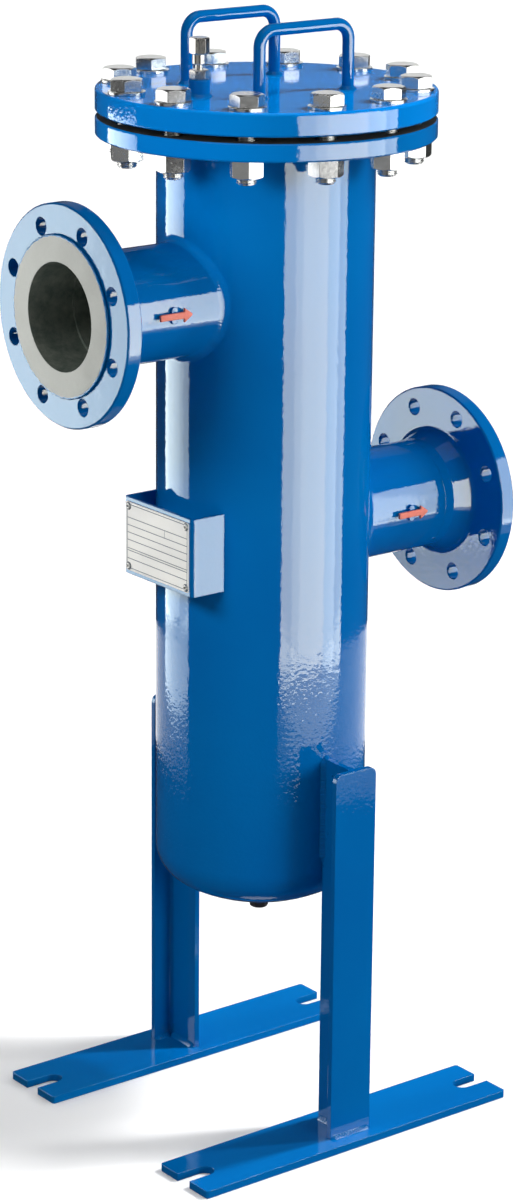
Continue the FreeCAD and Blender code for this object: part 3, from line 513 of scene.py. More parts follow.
def flange_gap_shade(tree, spot):
    """A mask that is 1 between the flange and the lid, inside their rims, and in the flange's bore,
    where near-black painted shade replaces the paint.
    """
    parts = parts_of(tree, spot)
    above = math_node(tree, "GREATER_THAN", parts["Z"], FLANGE_TOP_Z - GAP_MARGIN_Z)
    below = math_node(tree, "LESS_THAN", parts["Z"], LID_UNDERSIDE_Z + GAP_MARGIN_Z)
    radius = distance_of(tree, parts["X"], parts["Y"])
    within = math_node(tree, "LESS_THAN", radius, FLANGE_RADIUS - GAP_MARGIN_R)
    bore = math_node(tree, "LESS_THAN", radius, SHELL_RADIUS + GAP_MARGIN_R)
    shade_here = math_node(tree, "MAXIMUM", bore, math_node(tree, "MULTIPLY", above, within))
    return math_node(tree, "MULTIPLY", below, shade_here)


def blue_paint(name, bare_or_shade_mask=None, has_edges=True, bare_or_shade_tones=(BORE_DARK, BORE_PALE),
               gloss_range=(0.03, 0.075), low_peel=UPPER_PEEL):
    """Gloss enamel over steel, with a cloudy tone, orange peel and a long wave.

    The second argument makes the mask of what is left bare, and the tones argument colours it; for the
    flange's gap and bore the tones are near-black painted shade. has_edges thins the paint on edges.
    low_peel is the orange peel's strength near the floor.
    """
    material, tree = new_material(name)
    spot = place(tree)
    cloud = noise(tree, spot, CLOUD_SCALE, 4.0)
    colour = mix_colour(tree, remap(tree, cloud, 0.35, 0.65, 0.0, 1.0), PAINT_DEEP, PAINT_BLUE)
    rounded = None
    if has_edges:
        rounded = soft_edge(tree, PAINT_BEVEL)
        thin = remap(tree, noise(tree, spot, WEAR_SCALE, 6.0), 0.45, 0.7, 0.0, 0.5)
        worn = math_node(tree, "MULTIPLY", edge_mask(tree, rounded), thin)
        colour = mix_colour(tree, worn, colour, PAINT_EDGE)
    sprayed = remap(tree, parts_of(tree, spot)["Z"], PEEL_TOP_Z, PEEL_BOTTOM_Z, UPPER_PEEL, low_peel)
    peel = bump(tree, noise(tree, spot, PEEL_SCALE, 1.0), PEEL_DEPTH, sprayed, rounded)
    wave = bump(tree, noise(tree, spot, WAVE_SCALE, 1.0), WAVE_DEPTH, WAVE_STRENGTH, peel)
    gloss = remap(tree, noise(tree, spot, GLOSS_SCALE, 5.0, 0.62), 0.35, 0.75, *gloss_range)
    if bare_or_shade_mask is None:
        feed(tree, {"Base Color": colour, "Roughness": gloss, "Normal": wave, "IOR": PAINT_IOR})
        return material
    # Where the mask is 1, rust tones stand for bare steel; with the flange's gap tones they are
    # near-black painted shade.
    bare_or_shaded = bare_or_shade_mask(tree, spot)
    patches = noise(tree, spot, RUST_SCALE, 8.0, 0.7)
    rust_or_shade = mix_colour(tree, remap(tree, patches, 0.35, 0.7, 0.0, 1.0), *bare_or_shade_tones)
    pits = bump(tree, noise(tree, spot, PIT_SCALE, 6.0, 0.7), PIT_DEPTH, 0.5)
    either = mix_normal(tree, bare_or_shaded, wave, pits)
    rough = math_node(tree, "MAXIMUM", gloss, math_node(tree, "MULTIPLY", bare_or_shaded, BARE_ROUGHNESS))
    feed(tree, {"Base Color": mix_colour(tree, bare_or_shaded, colour, rust_or_shade), "Roughness": rough,
                "Normal": either, "IOR": PAINT_IOR})
    return material


def plain_metal(name, pale, dark, roughness, grain=300.0, depth=0.00008, metallic=1.0, bevel=0.0006,
                stretch=(1.0, 1.0, 1.0), edge_colour=None):
    """Metal with a fine grain, cloudy tone, uneven polish and worn edges."""
    material, tree = new_material(name)
    spot = place(tree)
    rounded = soft_edge(tree, bevel)
    edge = edge_mask(tree, rounded)
    stretched = add_node(tree, "ShaderNodeMapping", None, {"Vector": spot, "Scale": stretch})
    fine = noise(tree, stretched.outputs["Vector"], grain, 5.0, 0.6)
    cloud = noise(tree, spot, METAL_CLOUD_SCALE, 5.0, 0.6)
    tone = mix_colour(tree, remap(tree, cloud, *NOISE_SPREAD, 0.0, 1.0), dark, pale)
    worn = math_node(tree, "MULTIPLY", edge, METAL_EDGE_SHARE)
    colour = mix_colour(tree, worn, tone, edge_colour or pale)
    gloss = math_node(tree, "ADD", remap(tree, cloud, *NOISE_SPREAD, roughness * 0.8, roughness * 1.25),
                      remap(tree, fine, *NOISE_SPREAD, -0.03, 0.05))
    feed(tree, {"Base Color": colour, "Metallic": metallic, "Roughness": gloss,
                "Normal": bump(tree, fine, depth, 0.5, rounded)})
    return material


def soft_material(name, pale, dark, roughness, grain=500.0, depth=0.0002, sheen=0.0):
    """Rubber, sheet, fibre or enamel: a dull surface with a fine grain and a cloudy tone."""
    material, tree = new_material(name)
    spot = place(tree)
    fine = noise(tree, spot, grain, 6.0, 0.65)
    cloud = noise(tree, spot, DULL_CLOUD_SCALE, 4.0, 0.6)
    share = remap(tree, math_node(tree, "ADD", fine, cloud), 0.7, 1.3, 0.0, 1.0)
    feed(tree, {"Base Color": mix_colour(tree, share, dark, pale), "Sheen Weight": sheen,
                "Roughness": remap(tree, fine, *NOISE_SPREAD, roughness * 0.85, roughness * 1.1),
                "Normal": bump(tree, fine, depth, 0.6, soft_edge(tree, DULL_BEVEL))})
    return material


PAINT = blue_paint("blue_gloss_enamel")
INLET_PAINT = blue_paint("inlet_nozzle_finish", in_bore_of(INLET_Z))
OUTLET_PAINT = blue_paint("outlet_nozzle_finish", in_bore_of(OUTLET_Z))
VESSEL_PAINT = blue_paint("vessel_finish", in_vessel, has_edges=False, low_peel=0.50)
BAR_PAINT = blue_paint("handle_finish", has_edges=False, gloss_range=(0.02, 0.045))
WELD_PAINT = blue_paint("weld_finish", has_edges=False, gloss_range=(0.07, 0.13))
# Blue paint on flange and lid, with near-black painted shade in the gap between them and in the flange's
# bore
FLANGE_PAINT_GAP_SHADE = blue_paint("flange_paint_and_gap_shade", flange_gap_shade, bare_or_shade_tones=(GAP_SHADE_DARK, GAP_SHADE_PALE))
ZINC = plain_metal("bright_zinc", colour_of(0.86, 0.86, 0.83), colour_of(0.68, 0.69, 0.69), 0.22,
                   depth=0.00007)
STEEL = plain_metal("machined_steel", colour_of(0.60, 0.60, 0.58), colour_of(0.47, 0.47, 0.46), 0.34)
NICKEL = plain_metal("bright_nickel", colour_of(0.86, 0.83, 0.75), colour_of(0.70, 0.68, 0.62), 0.22)
BRASS = plain_metal("turned_brass", colour_of(0.78, 0.60, 0.30), colour_of(0.62, 0.45, 0.20), 0.25)
COPPER = plain_metal("soft_copper", colour_of(0.76, 0.42, 0.28), colour_of(0.58, 0.30, 0.19), 0.36)
BLACKED = plain_metal("black_oxide", colour_of(0.055, 0.055, 0.06), colour_of(0.03, 0.03, 0.032), 0.42,
                      metallic=0.6, edge_colour=colour_of(0.2, 0.2, 0.2))
SPRING = plain_metal("spring_wire", colour_of(0.46, 0.46, 0.47), colour_of(0.33, 0.33, 0.34), 0.3)
RUBBER = soft_material("moulded_rubber", colour_of(0.035, 0.035, 0.036), colour_of(0.018, 0.018, 0.018),
                       0.55)
FIBRE = soft_material("gasket_sheet", colour_of(0.20, 0.25, 0.22), colour_of(0.12, 0.15, 0.13), 0.85)
MEDIUM = soft_material("glass_fibre_medium", colour_of(0.90, 0.88, 0.80), colour_of(0.74, 0.71, 0.62),
                       0.9, sheen=0.2)
ARROW_RED = soft_material("red_enamel", colour_of(0.80, 0.21, 0.14), colour_of(0.68, 0.13, 0.08), 0.36)
PLATE = plain_metal("plate_sheet", colour_of(0.87, 0.87, 0.84), colour_of(0.81, 0.805, 0.76), 0.40,
                    metallic=0.35)
INK = soft_material("rule_ink", colour_of(0.060, 0.095, 0.16), colour_of(0.045, 0.075, 0.13), 0.5)
EYELET = plain_metal("eyelet_metal", colour_of(0.90, 0.90, 0.86), colour_of(0.78, 0.78, 0.74), 0.3)
FACE = plain_metal("turned_face", colour_of(0.40, 0.41, 0.385), colour_of(0.30, 0.31, 0.29), 0.40,
                   grain=500.0, depth=0.00004, bevel=0.0001)
GLOSSY_PAINTS = (PAINT, INLET_PAINT, OUTLET_PAINT, VESSEL_PAINT, WELD_PAINT, FLANGE_PAINT_GAP_SHADE, BAR_PAINT)

FINISHES = {
    BAR_PAINT: ["front_handle", "rear_handle"],
    PAINT: ["vent_boss", "arrow_lugs", "nameplate_bracket", "front_leg", "rear_leg", "front_foot",
            "rear_foot", "drain_boss"],
    FLANGE_PAINT_GAP_SHADE: ["shell_flange", "lid"],
    VESSEL_PAINT: ["shell", "dished_bottom"],
    INLET_PAINT: ["inlet_flange", "inlet_pipe"],
    OUTLET_PAINT: ["outlet_flange", "outlet_pipe"],
    ZINC: ["lid_bolts", "lid_washers", "lid_nuts", "nameplate_rivets"],
    STEEL: ["element_seat", "element_head", "element_bottom", "element_support", "bypass_cage",
            "bypass_valve"],
    NICKEL: ["vent_fitting", "vent_cap"],
    BRASS: ["vent_plug"],
    COPPER: ["drain_seal"],
    BLACKED: ["drain_plug"],
    SPRING: ["bypass_spring", "element_bail"],
    RUBBER: ["element_oring"],
    FIBRE: ["lid_gasket"],
    MEDIUM: ["element_media"],
    ARROW_RED: ["inlet_arrow", "outlet_arrow"],
    PLATE: ["nameplate"],
}
for finish, names in FINISHES.items():
    for name in names:
        slots = NODES[name].data.materials
        slots.clear()
        slots.append(finish)


# Pieces in mesh code

def add_object(name, data):
    thing = bpy.data.objects.new(name, data)
    bpy.context.scene.collection.objects.link(thing)
    return thing


def piece(name, body, points, faces, finish, smooth=True):
    """A mesh that rides on a CAD body, with its normals turned outward."""
    mesh = bpy.data.meshes.new(name)
    mesh.from_pydata([tuple(point) for point in points], [], faces)
    shape = bmesh.new()
    shape.from_mesh(mesh)
    bmesh.ops.recalc_face_normals(shape, faces=shape.faces)
    shape.to_mesh(mesh)
    shape.free()
    mesh.materials.append(finish)
    for polygon in mesh.polygons:
        polygon.use_smooth = smooth
    thing = add_object(name, mesh)
    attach(thing, body)
    return thing


def tube_faces(rows, ring, closed=False):
    """Quads between rings of points; closed joins the last ring to the first."""
    faces = []
    for row in range(rows if closed else rows - 1):
        here = row * ring
        there = (row + 1) % rows * ring
        for step in range(ring):
            after = (step + 1) % ring
            faces.append((here + step, here + after, there + after, there + step))
    return faces


def end_faces(rows, ring):
    """One face over the first ring and one over the last."""
    return [tuple(range(ring)), tuple(range((rows - 1) * ring, rows * ring))]


def directions_round(axis, count):
    """Directions at even turns round an axis."""
    side = axis.orthogonal().normalized()
    other = axis.cross(side)
    turns = [math.tau * index / count for index in range(count)]
    return [side * math.cos(turn) + other * math.sin(turn) for turn in turns]


def lathe_points(profile, segments, centre, axis, capped=True):
    """Rings of a profile of (radius, height) turned round an axis; returns points and faces."""
    outwards = directions_round(axis, segments)
    points = [centre + axis * height + outward * radius
              for radius, height in profile for outward in outwards]
    faces = tube_faces(len(profile), segments)
    if capped:
        faces += end_faces(len(profile), segments)
    return points, faces


def gather(parts):
    """One list of points and one of faces out of several."""
    points = []
    faces = []
    for some_points, some_faces in parts:
        offset = len(points)
        points.extend(some_points)
        faces.extend(tuple(corner + offset for corner in face) for face in some_faces)
    return points, faces


# Welds and spatter

def fillet_section(root, first, second, leg, fullness=WELD_FULLNESS, sink=WELD_SINK):
    """Toe on each plate, crown and hidden root of a fillet weld; a low fullness makes it hollow."""
    return (root + first * leg - second * sink, root + second * leg - first * sink,
            root + (first + second) * leg * fullness, root - (first + second) * WELD_SINK * 3)


def weld(name, body, sections, closed, pitch=WELD_PITCH, ripple=WELD_RIPPLE, seed=0.0):
    """A weld bead through its sections, with fish-scale ripples that bow forward."""
    length = 0.0
    points = []
    for index, (toe_a, toe_b, crown, root) in enumerate(sections):
        middle = (toe_a + toe_b) / 2
        if index:
            before = sections[index - 1]
            length += (middle - (before[0] + before[1]) / 2).length
        outward = (crown - middle).normalized()
        drift = math.sin(length * 190.0 + seed) * 0.4 + math.sin(length * 67.0 + seed * 2.0) * 0.6
        for step in range(WELD_STEPS + 1):
            share = step / WELD_STEPS
            point = toe_a * (1 - share) ** 2 + crown * 2 * share * (1 - share) + toe_b * share ** 2
            bow = 4 * share * (1 - share)
            wave = math.cos(math.tau * (length / pitch - WELD_BOW * bow) + drift)
            points.append(point + outward * (ripple * wave + WELD_DRIFT * drift) * bow)
        points.append(root)
    ring = WELD_STEPS + 2
    faces = tube_faces(len(sections), ring, closed)
    if not closed:
        faces += end_faces(len(sections), ring)
    bead = piece(name, body, points, faces, WELD_PAINT)
    for edge in bead.data.edges:
        steps = {corner % ring for corner in edge.vertices}
        edge.use_edge_sharp = steps == {0} or steps == {WELD_STEPS} or WELD_STEPS + 1 in steps


def line_weld(name, start, end, first, second, leg, seed=0.0):
    """A straight fillet weld on the vessel, whose ends taper off."""
    start = Vector(start)
    end = Vector(end)
    run = (end - start).length
    count = max(8, int(run / WELD_SPACING))
    sections = []
    for index in range(count + 1):
        along = run * index / count
        near_end = min(along, run - along) / leg
        size = leg * max(WELD_END_SHARE, min(1.0, near_end)) ** 0.5
        sections.append(fillet_section(start.lerp(end, index / count), first, second, size))
    weld(name, "vessel", sections, False, seed=seed)


def ring_weld(name, body, centre, radius, along, leg, fullness=WELD_FULLNESS, **bead):
    """A fillet weld round an upright cylinder; along is the way of its leg on the cylinder."""
    sections = [fillet_section(centre + outward * radius, along, outward, leg, fullness)
                for outward in directions_round(UP, int(math.tau * radius / WELD_SPACING))]
    weld(name, body, sections, True, **bead)


def saddle_weld(name, side, height, seed=0.0):
    """The weld where a nozzle's pipe meets the shell."""
    count = int(math.tau * PIPE_RADIUS / WELD_SPACING)

    def seam(turn):
        y = PIPE_RADIUS * math.cos(turn)
        x = side * math.sqrt(SHELL_RADIUS ** 2 - y ** 2)
        return Vector((x, y, height + PIPE_RADIUS * math.sin(turn)))

    sections = []
    for index in range(count):
        turn = math.tau * index / count
        point = seam(turn)
        tangent = (seam(turn + SEAM_STEP) - seam(turn - SEAM_STEP)).normalized()
        pipe_normal = Vector((0, math.cos(turn), math.sin(turn)))
        shell_normal = Vector((point.x, point.y, 0)).normalized()
        along_pipe = tangent.cross(pipe_normal)
        along_pipe *= math.copysign(1.0, along_pipe.x * side)
        along_shell = tangent.cross(shell_normal)
        along_shell *= math.copysign(1.0, along_shell.dot(pipe_normal))
        sections.append(fillet_section(point, along_pipe, along_shell, SADDLE_LEG, SADDLE_FULLNESS,
                                       SADDLE_SINK))
    weld(name, "vessel", sections, True, ripple=SADDLE_RIPPLE, seed=seed)


saddle_weld("inlet_saddle_weld", -1, INLET_Z)
saddle_weld("outlet_saddle_weld", 1, OUTLET_Z, seed=2.0)
ring_weld("flange_weld", "vessel", UP * FLANGE_UNDERSIDE_Z, SHELL_RADIUS, DOWN, FLANGE_LEG)
ring_weld("drain_boss_weld", "vessel", UP * DRAIN_BOSS_TOP_Z, DRAIN_BOSS_RADIUS, DOWN, DRAIN_LEG)
for side, name in ENDS:
    for hand, hand_name in HANDS:
        foot = Vector((hand * HANDLE_HALF_SPAN, side * HANDLE_Y, LID_TOP_Z))
        seed = hand * HANDLE_HALF_SPAN * 40 + side * HANDLE_Y * 30
        ring_weld(name + "_handle_" + hand_name + "_weld", "lid", foot, HANDLE_BAR_RADIUS, UP, LID_LEG,
                  LID_FULLNESS, seed=seed)
vent_turn = math.radians(VENT_ANGLE)
vent_spot = Vector((VENT_RADIUS * math.cos(vent_turn), VENT_RADIUS * math.sin(vent_turn), LID_TOP_Z))
ring_weld("vent_boss_weld", "lid", vent_spot, VENT_BOSS_RADIUS, UP, BOSS_LEG, pitch=BOSS_PITCH,
          ripple=BOSS_RIPPLE)

for side, name in ENDS:
    shell_y = side * SHELL_RADIUS
    web_y = shell_y + side * WEB_WELD_GAP
    plate_y = side * (SHELL_RADIUS + LEG_DEPTH)
    inner_y = plate_y - side * LEG_THICKNESS
    outward = Y_AXIS * side
    for hand, hand_name in HANDS:
        edge = X_AXIS * hand
        web_x = hand * LEG_THICKNESS / 2
        plate_x = hand * LEG_HALF_WIDTH
        line_weld(name + "_web_" + hand_name + "_weld", (web_x, web_y, WEB_WELD_BOTTOM_Z),
                  (web_x, web_y, LEG_TOP_Z), edge, outward, WEB_LEG, seed=hand + side)
        line_weld(name + "_web_foot_" + hand_name + "_weld", (web_x, shell_y, FOOT_TOP_Z),
                  (web_x, inner_y, FOOT_TOP_Z), edge, UP, FOOT_LEG)
        line_weld(name + "_leg_inner_" + hand_name + "_weld", (web_x, inner_y, FOOT_TOP_Z),
                  (plate_x, inner_y, FOOT_TOP_Z), -outward, UP, FOOT_LEG)
    line_weld(name + "_web_cap_weld", (-LEG_THICKNESS / 2, shell_y, LEG_TOP_Z),
              (LEG_THICKNESS / 2, shell_y, LEG_TOP_Z), UP, outward, CAP_LEG, seed=3.0)
    line_weld(name + "_leg_outer_weld", (-LEG_HALF_WIDTH, plate_y, FOOT_TOP_Z),
              (LEG_HALF_WIDTH, plate_y, FOOT_TOP_Z), outward, UP, OUTER_LEG, seed=5.0)

wing_x = -math.sqrt(SHELL_RADIUS ** 2 - BRACKET_HALF_WIDTH ** 2)
for side, name in ENDS:
    foot = Vector((wing_x, side * BRACKET_HALF_WIDTH, 0))
    along_shell = Vector((-foot.y, foot.x, 0)).normalized()
    along_shell *= -math.copysign(1.0, along_shell.y * side)
    foot -= Y_AXIS * side * BRACKET_SHEET
    line_weld(name + "_bracket_weld", foot + UP * (BRACKET_BOTTOM_Z + BRACKET_WELD_END),
              foot + UP * (BRACKET_BOTTOM_Z + BRACKET_HEIGHT - BRACKET_WELD_END), -X_AXIS, along_shell,
              BRACKET_LEG, seed=7.0 + side)


def spatter_drop(side, hand, reach, z, radius):
    """A small painted drop that a welder left on a leg's web, at a reach from the shell."""
    dome = [(radius * math.cos(turn), radius * math.sin(turn) * DROP_HEIGHT_SHARE)
            for turn in map(math.radians, DROP_RINGS)]
    spot = Vector((hand * LEG_THICKNESS / 2, side * (SHELL_RADIUS + reach), z))
    return lathe_points(dome, DROP_SEGMENTS, spot, X_AXIS * hand)


for side, name in ENDS:
    drops = []
    for index in range(DROP_COUNT):
        reach = 0.006 + 0.012 * (0.5 + 0.5 * math.sin(index * 2.7))
        z = 0.312 + 0.011 * index + 0.004 * math.sin(index * 5.3)
        for hand, _ in HANDS:
            radius = 0.0007 + 0.0004 * math.sin(index * 1.9 + hand)
            drops.append(spatter_drop(side, hand, reach, z, radius))
    for hand, _ in HANDS:
        for reach, z, radius in LARGE_DROPS:
            drops.append(spatter_drop(side, hand, reach, z, radius))
    points, faces = gather(drops)
    piece(name + "_leg_spatter", "vessel", points, faces, PAINT)


# Nozzle faces

def face_ring(name, side, height):
    """The turned, bare raised face of a nozzle flange, with its concentric serrations."""
    radii = [NOZZLE_BORE_RADIUS + FACE_INNER_GAP]
    while radii[-1] < NOZZLE_RAISED_RADIUS - FACE_OUTER_GAP:
        radii.append(radii[-1] + SERRATION_PITCH / 2)
    profile = [(radii[0], FACE_SKIN - FACE_ROOT)]
    profile += [(radius, FACE_SKIN - (index % 2) * SERRATION_DEPTH)
                for index, radius in enumerate(radii)]
    profile.append((NOZZLE_RAISED_RADIUS - 2 * FACE_ROOT, FACE_SKIN))
    profile.append((NOZZLE_RAISED_RADIUS - FACE_ROOT, FACE_SKIN - FACE_ROOT))
    centre = Vector((side * NOZZLE_FACE_X, 0, height))
    points, faces = lathe_points(profile, FACE_SEGMENTS, centre, X_AXIS * side, capped=False)
    rim = len(profile) - 1
    last = rim * FACE_SEGMENTS
    for index in range(FACE_SEGMENTS):
        after = (index + 1) % FACE_SEGMENTS
        faces.append((index, after, last + after, last + index))
    for row in (rim - 1, rim):
        for index in range(FACE_SEGMENTS):
            corner = row * FACE_SEGMENTS + index
            away = points[corner] - centre
            ragged = 0.00035 * math.sin(index * 2.3 + side) + 0.00025 * math.sin(index * 5.1)
            points[corner] = points[corner] + away.normalized() * (ragged - FACE_PULL)
    piece(name, "vessel", points, faces, FACE)


def paint_edge(name, side, height):
    """The thick, uneven edge of the paint round a raised face."""
    profile = [(NOZZLE_RAISED_RADIUS + out, lift) for out, lift in PAINT_EDGE_PROFILE]
    centre = Vector((side * NOZZLE_FACE_X, 0, height))
    axis = X_AXIS * side
    points, faces = lathe_points(profile, PAINT_EDGE_SEGMENTS, centre, axis, capped=False)
    for row in range(1, len(profile) - 1):
        for index in range(PAINT_EDGE_SEGMENTS):
            corner = row * PAINT_EDGE_SEGMENTS + index
            away = points[corner] - centre
            away -= axis * away.dot(axis)
            lump = (math.sin(index * 0.83 + row) + math.sin(index * 1.71 + row * 2.1) +
                    0.7 * math.sin(index * 2.57 + side))
            points[corner] = points[corner] + away.normalized() * lump * PAINT_EDGE_LUMP
    piece(name, "vessel", points, faces, PAINT)


for make, label in ((face_ring, "turned_face"), (paint_edge, "paint_edge")):
    make("inlet_" + label, -1, INLET_Z)
    make("outlet_" + label, 1, OUTLET_Z)


# Bolts

def bolt_mesh(x, y, heading):
    """A hexagon-head set screw with a rolled helical thread; heading turns its head."""
    half_across = BOLT_ACROSS / 2
    face_radius = half_across * HEAD_FACE_SHARE
    top = BOLT_SEAT_Z + BOLT_HEAD_H
    turns = [math.tau * column / BOLT_COLUMNS for column in range(BOLT_COLUMNS)]
    reaches = [half_across / math.cos((turn + math.pi / 6) % (math.pi / 3) - math.pi / 6)
               for turn in turns]

    def round_row(radius, z):
        return [(radius, z)] * BOLT_COLUMNS

    rows = [round_row(share * face_radius, top + lift) for share, lift in HEAD_TOP_RINGS]
    rows.append([(reach, top - (reach - face_radius) * HEAD_CHAMFER_SLOPE) for reach in reaches])
    rows.append([(reach, BOLT_SEAT_Z + HEAD_STEP) for reach in reaches])
    rows += [round_row(half_across * share, BOLT_SEAT_Z + lift) for share, lift in WASHER_FACE_RINGS]
    rows += [round_row(BOLT_RADIUS + out, BOLT_SEAT_Z + lift) for out, lift in SHANK_RINGS]
    start = BOLT_SEAT_Z - THREAD_START
    end = BOLT_SEAT_Z - BOLT_LENGTH
    steps = int((start - end) / THREAD_PITCH * THREAD_STEPS)
    for step in range(steps + 1):
        z = start + (end - start) * step / steps
        fade = min(1.0, (z - end) / THREAD_POINT)
        row = []
        for turn in turns:
            wave = ((start - z) / THREAD_PITCH + turn / math.tau) % 1.0
            tooth = min(1.0, max(0.0, THREAD_FLANK * abs(wave - 0.5) - THREAD_ROOT))
            depth = THREAD_DEPTH * (1.0 - tooth * fade)
            row.append((BOLT_RADIUS - depth - THREAD_POINT_DEPTH * (1.0 - fade), z))
        rows.append(row)
    rows.append(round_row(BOLT_RADIUS * BOLT_END_SHARE, end))
    points = [Vector((x + radius * math.cos(turn + heading), y + radius * math.sin(turn + heading), z))
              for row in rows for (radius, z), turn in zip(row, turns)]
    return points, tube_faces(len(rows), BOLT_COLUMNS) + end_faces(len(rows), BOLT_COLUMNS)


bolt_parts = []
for index in range(BOLT_COUNT):
    turn = math.tau * (index + 0.5) / BOLT_COUNT
    bolt_parts.append(bolt_mesh(BOLT_CIRCLE_RADIUS * math.cos(turn), BOLT_CIRCLE_RADIUS * math.sin(turn),
                                turn + HEAD_SWING * math.sin(index * 2.4)))
points, faces = gather(bolt_parts)
bolts = piece("threaded_bolts", "lid", points, faces, ZINC, smooth=False)
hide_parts("lid_bolts")


# Plate and arrows

def at_eyelets(name, profile, segments, finish):
    """The same turned shape at each of the plate's four eyelets."""
    parts = [lathe_points(profile, segments, Vector((PLATE_FACE_X, y, z)), -X_AXIS)
             for y in (-RIVET_Y, RIVET_Y) for z in (PLATE_CENTRE_Z - RIVET_Z, PLATE_CENTRE_Z + RIVET_Z)]
    points, faces = gather(parts)
    return piece(name, "vessel", points, faces, finish)


def strip(y_low, y_high, z_low, z_high):
    """A thin printed bar on the plate's face."""
    points = [Vector((x, y, z)) for x in (PLATE_FACE_X - RULE_LIFT, PLATE_FACE_X + RULE_SINK) for y, z in
              ((y_low, z_low), (y_high, z_low), (y_high, z_high), (y_low, z_high))]
    return points, [(0, 1, 2, 3), (4, 5, 6, 7), (0, 1, 5, 4), (1, 2, 6, 5), (2, 3, 7, 6), (3, 0, 4, 7)]


eyelets = at_eyelets("plate_eyelets", EYELET_RING, 32, EYELET)
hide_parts("nameplate_rivets")

frame_y = PLATE_WIDTH / 2 - RULE_MARGIN_Y
frame_top = PLATE_CENTRE_Z + PLATE_HEIGHT / 2 - RULE_MARGIN_Z
frame_bottom = PLATE_CENTRE_Z - PLATE_HEIGHT / 2 + RULE_MARGIN_Z
rule_heights = [frame_top - share * (frame_top - frame_bottom) for share in RULE_SHARES]
bars = [strip(-frame_y, frame_y, z - RULE_HALF, z + RULE_HALF) for z in rule_heights]
for y in (-frame_y, frame_y):
    bars.append(strip(y - RULE_HALF, y + RULE_HALF, frame_bottom, frame_top))
bars.append(strip(*DIVIDER_Y, rule_heights[2], rule_heights[1]))
points, faces = gather(bars)
piece("plate_rules", "vessel", points, faces, INK, smooth=False)

# Painted shade: a near-black dome in each eyelet's hollow
at_eyelets("eyelet_hole_shades", EYELET_HOLE_SHADE, 20, BLACKED)
# Painted shadow: a dark ring round each eyelet's rim
at_eyelets("eyelet_shadow_rings", EYELET_SHADOW_RING, 32, INK)


def arrow_piece(name, node, centre_x, centre_z):
    """A cast flow arrow with rounded edges, painted over the pin that holds it."""
    tip = ARROW_LENGTH / 2
    neck = tip - ARROW_HEAD_LENGTH
    blunt = tip - ARROW_TIP_LENGTH
    shaft = ARROW_SHAFT / 2
    head = ARROW_HEAD / 2
    outline = [(-tip, -shaft), (neck, -shaft), (neck, -head), (blunt, -ARROW_TIP_HALF), (tip, 0.0),
               (blunt, ARROW_TIP_HALF), (neck, head), (neck, shaft), (-tip, shaft)]
    back_y = -(PIPE_RADIUS + ARROW_STAND)
    points = [Vector((centre_x + x, y, centre_z + z)) for y in (back_y, back_y - ARROW_THICKNESS)
              for x, z in outline]
    faces = end_faces(2, len(outline)) + tube_faces(2, len(outline))
    arrow = piece(name, "vessel", points, faces, ARROW_RED)
    rounding = arrow.modifiers.new("rounding", "BEVEL")
    rounding.width = ARROW_ROUNDING
    rounding.segments = 3
    rounding.limit_method = "ANGLE"
    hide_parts(node)


arrow_piece("inlet_flow_arrow", "inlet_arrow", INLET_ARROW_X, INLET_Z)
arrow_piece("outlet_flow_arrow", "outlet_arrow", OUTLET_ARROW_X, OUTLET_Z)


# Spring of the bypass valve

def swollen(value):
    """A circle's sine or cosine, swollen toward that of a rounded square."""
    return math.copysign(abs(value) ** SPRING_SQUARENESS, value)


def coil_spring(name, node):
    """A compression spring of flattened wire with closed ends, as long as the part's box."""
    low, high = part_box(node)
    mean_radius = (high[0] - low[0]) / 2 - SPRING_WIRE_RADIAL / 2
    first = low[2] + SPRING_WIRE_AXIAL / 2
    run = high[2] - low[2] - SPRING_WIRE_AXIAL
    steps = int(SPRING_TURNS * SPRING_TURN_STEPS)
    points = []
    for step in range(steps + 1):
        share = step / steps
        lead_in = min(1.0, share / SPRING_END_SHARE)
        middle = min(1.0, max(0.0, (share - SPRING_END_SHARE) / (1.0 - 2 * SPRING_END_SHARE)))
        lead_out = max(0.0, (share - (1.0 - SPRING_END_SHARE)) / SPRING_END_SHARE)
        rise = SPRING_END_RISE * (lead_in + lead_out) + (1.0 - 2 * SPRING_END_RISE) * middle
        ground = max(0.0, abs(share - 0.5) * 2 - SPRING_GROUND_FROM) / (1.0 - SPRING_GROUND_FROM)
        thin = 1.0 - SPRING_GROUND_SHARE * ground
        turn = math.tau * SPRING_TURNS * share
        outward = Vector((math.cos(turn), math.sin(turn), 0.0))
        for index in range(SPRING_RING):
            around = math.tau * index / SPRING_RING
            across = swollen(math.cos(around)) * SPRING_WIRE_RADIAL / 2
            lift = swollen(math.sin(around)) * SPRING_WIRE_AXIAL / 2 * thin
            points.append(outward * (mean_radius + across) + UP * (first + run * rise + lift))
    faces = tube_faces(steps + 1, SPRING_RING) + end_faces(steps + 1, SPRING_RING)
    spring = piece(name, "element", points, faces, SPRING)
    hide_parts(node)
    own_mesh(spring)


coil_spring("coil_spring", "bypass_spring")


# Stage, lamps and camera

def stage_mesh(name, points, faces, material):
    mesh = bpy.data.meshes.new(name)
    mesh.from_pydata([tuple(point) for point in points], [], faces)
    mesh.materials.append(material)
    thing = add_object(name, mesh)
    thing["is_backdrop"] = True
    return thing


def azimuth_direction(azimuth):
    """The level direction at an azimuth from the -Y side toward +X."""
    turn = math.radians(azimuth)
    return Vector((math.sin(turn), -math.cos(turn), 0.0))


def hide_from(thing, rays):
    for ray in rays:
        setattr(thing, "visible_" + ray, False)


def linked(name, things):
    """A collection for a lamp that lights these things alone."""
    collection = bpy.data.collections.new(name)
    for thing in things:
        collection.objects.link(thing)
    return collection


def things_of(names):
    return [NODES[name] if name in NODES else bpy.data.objects[name] for name in names]


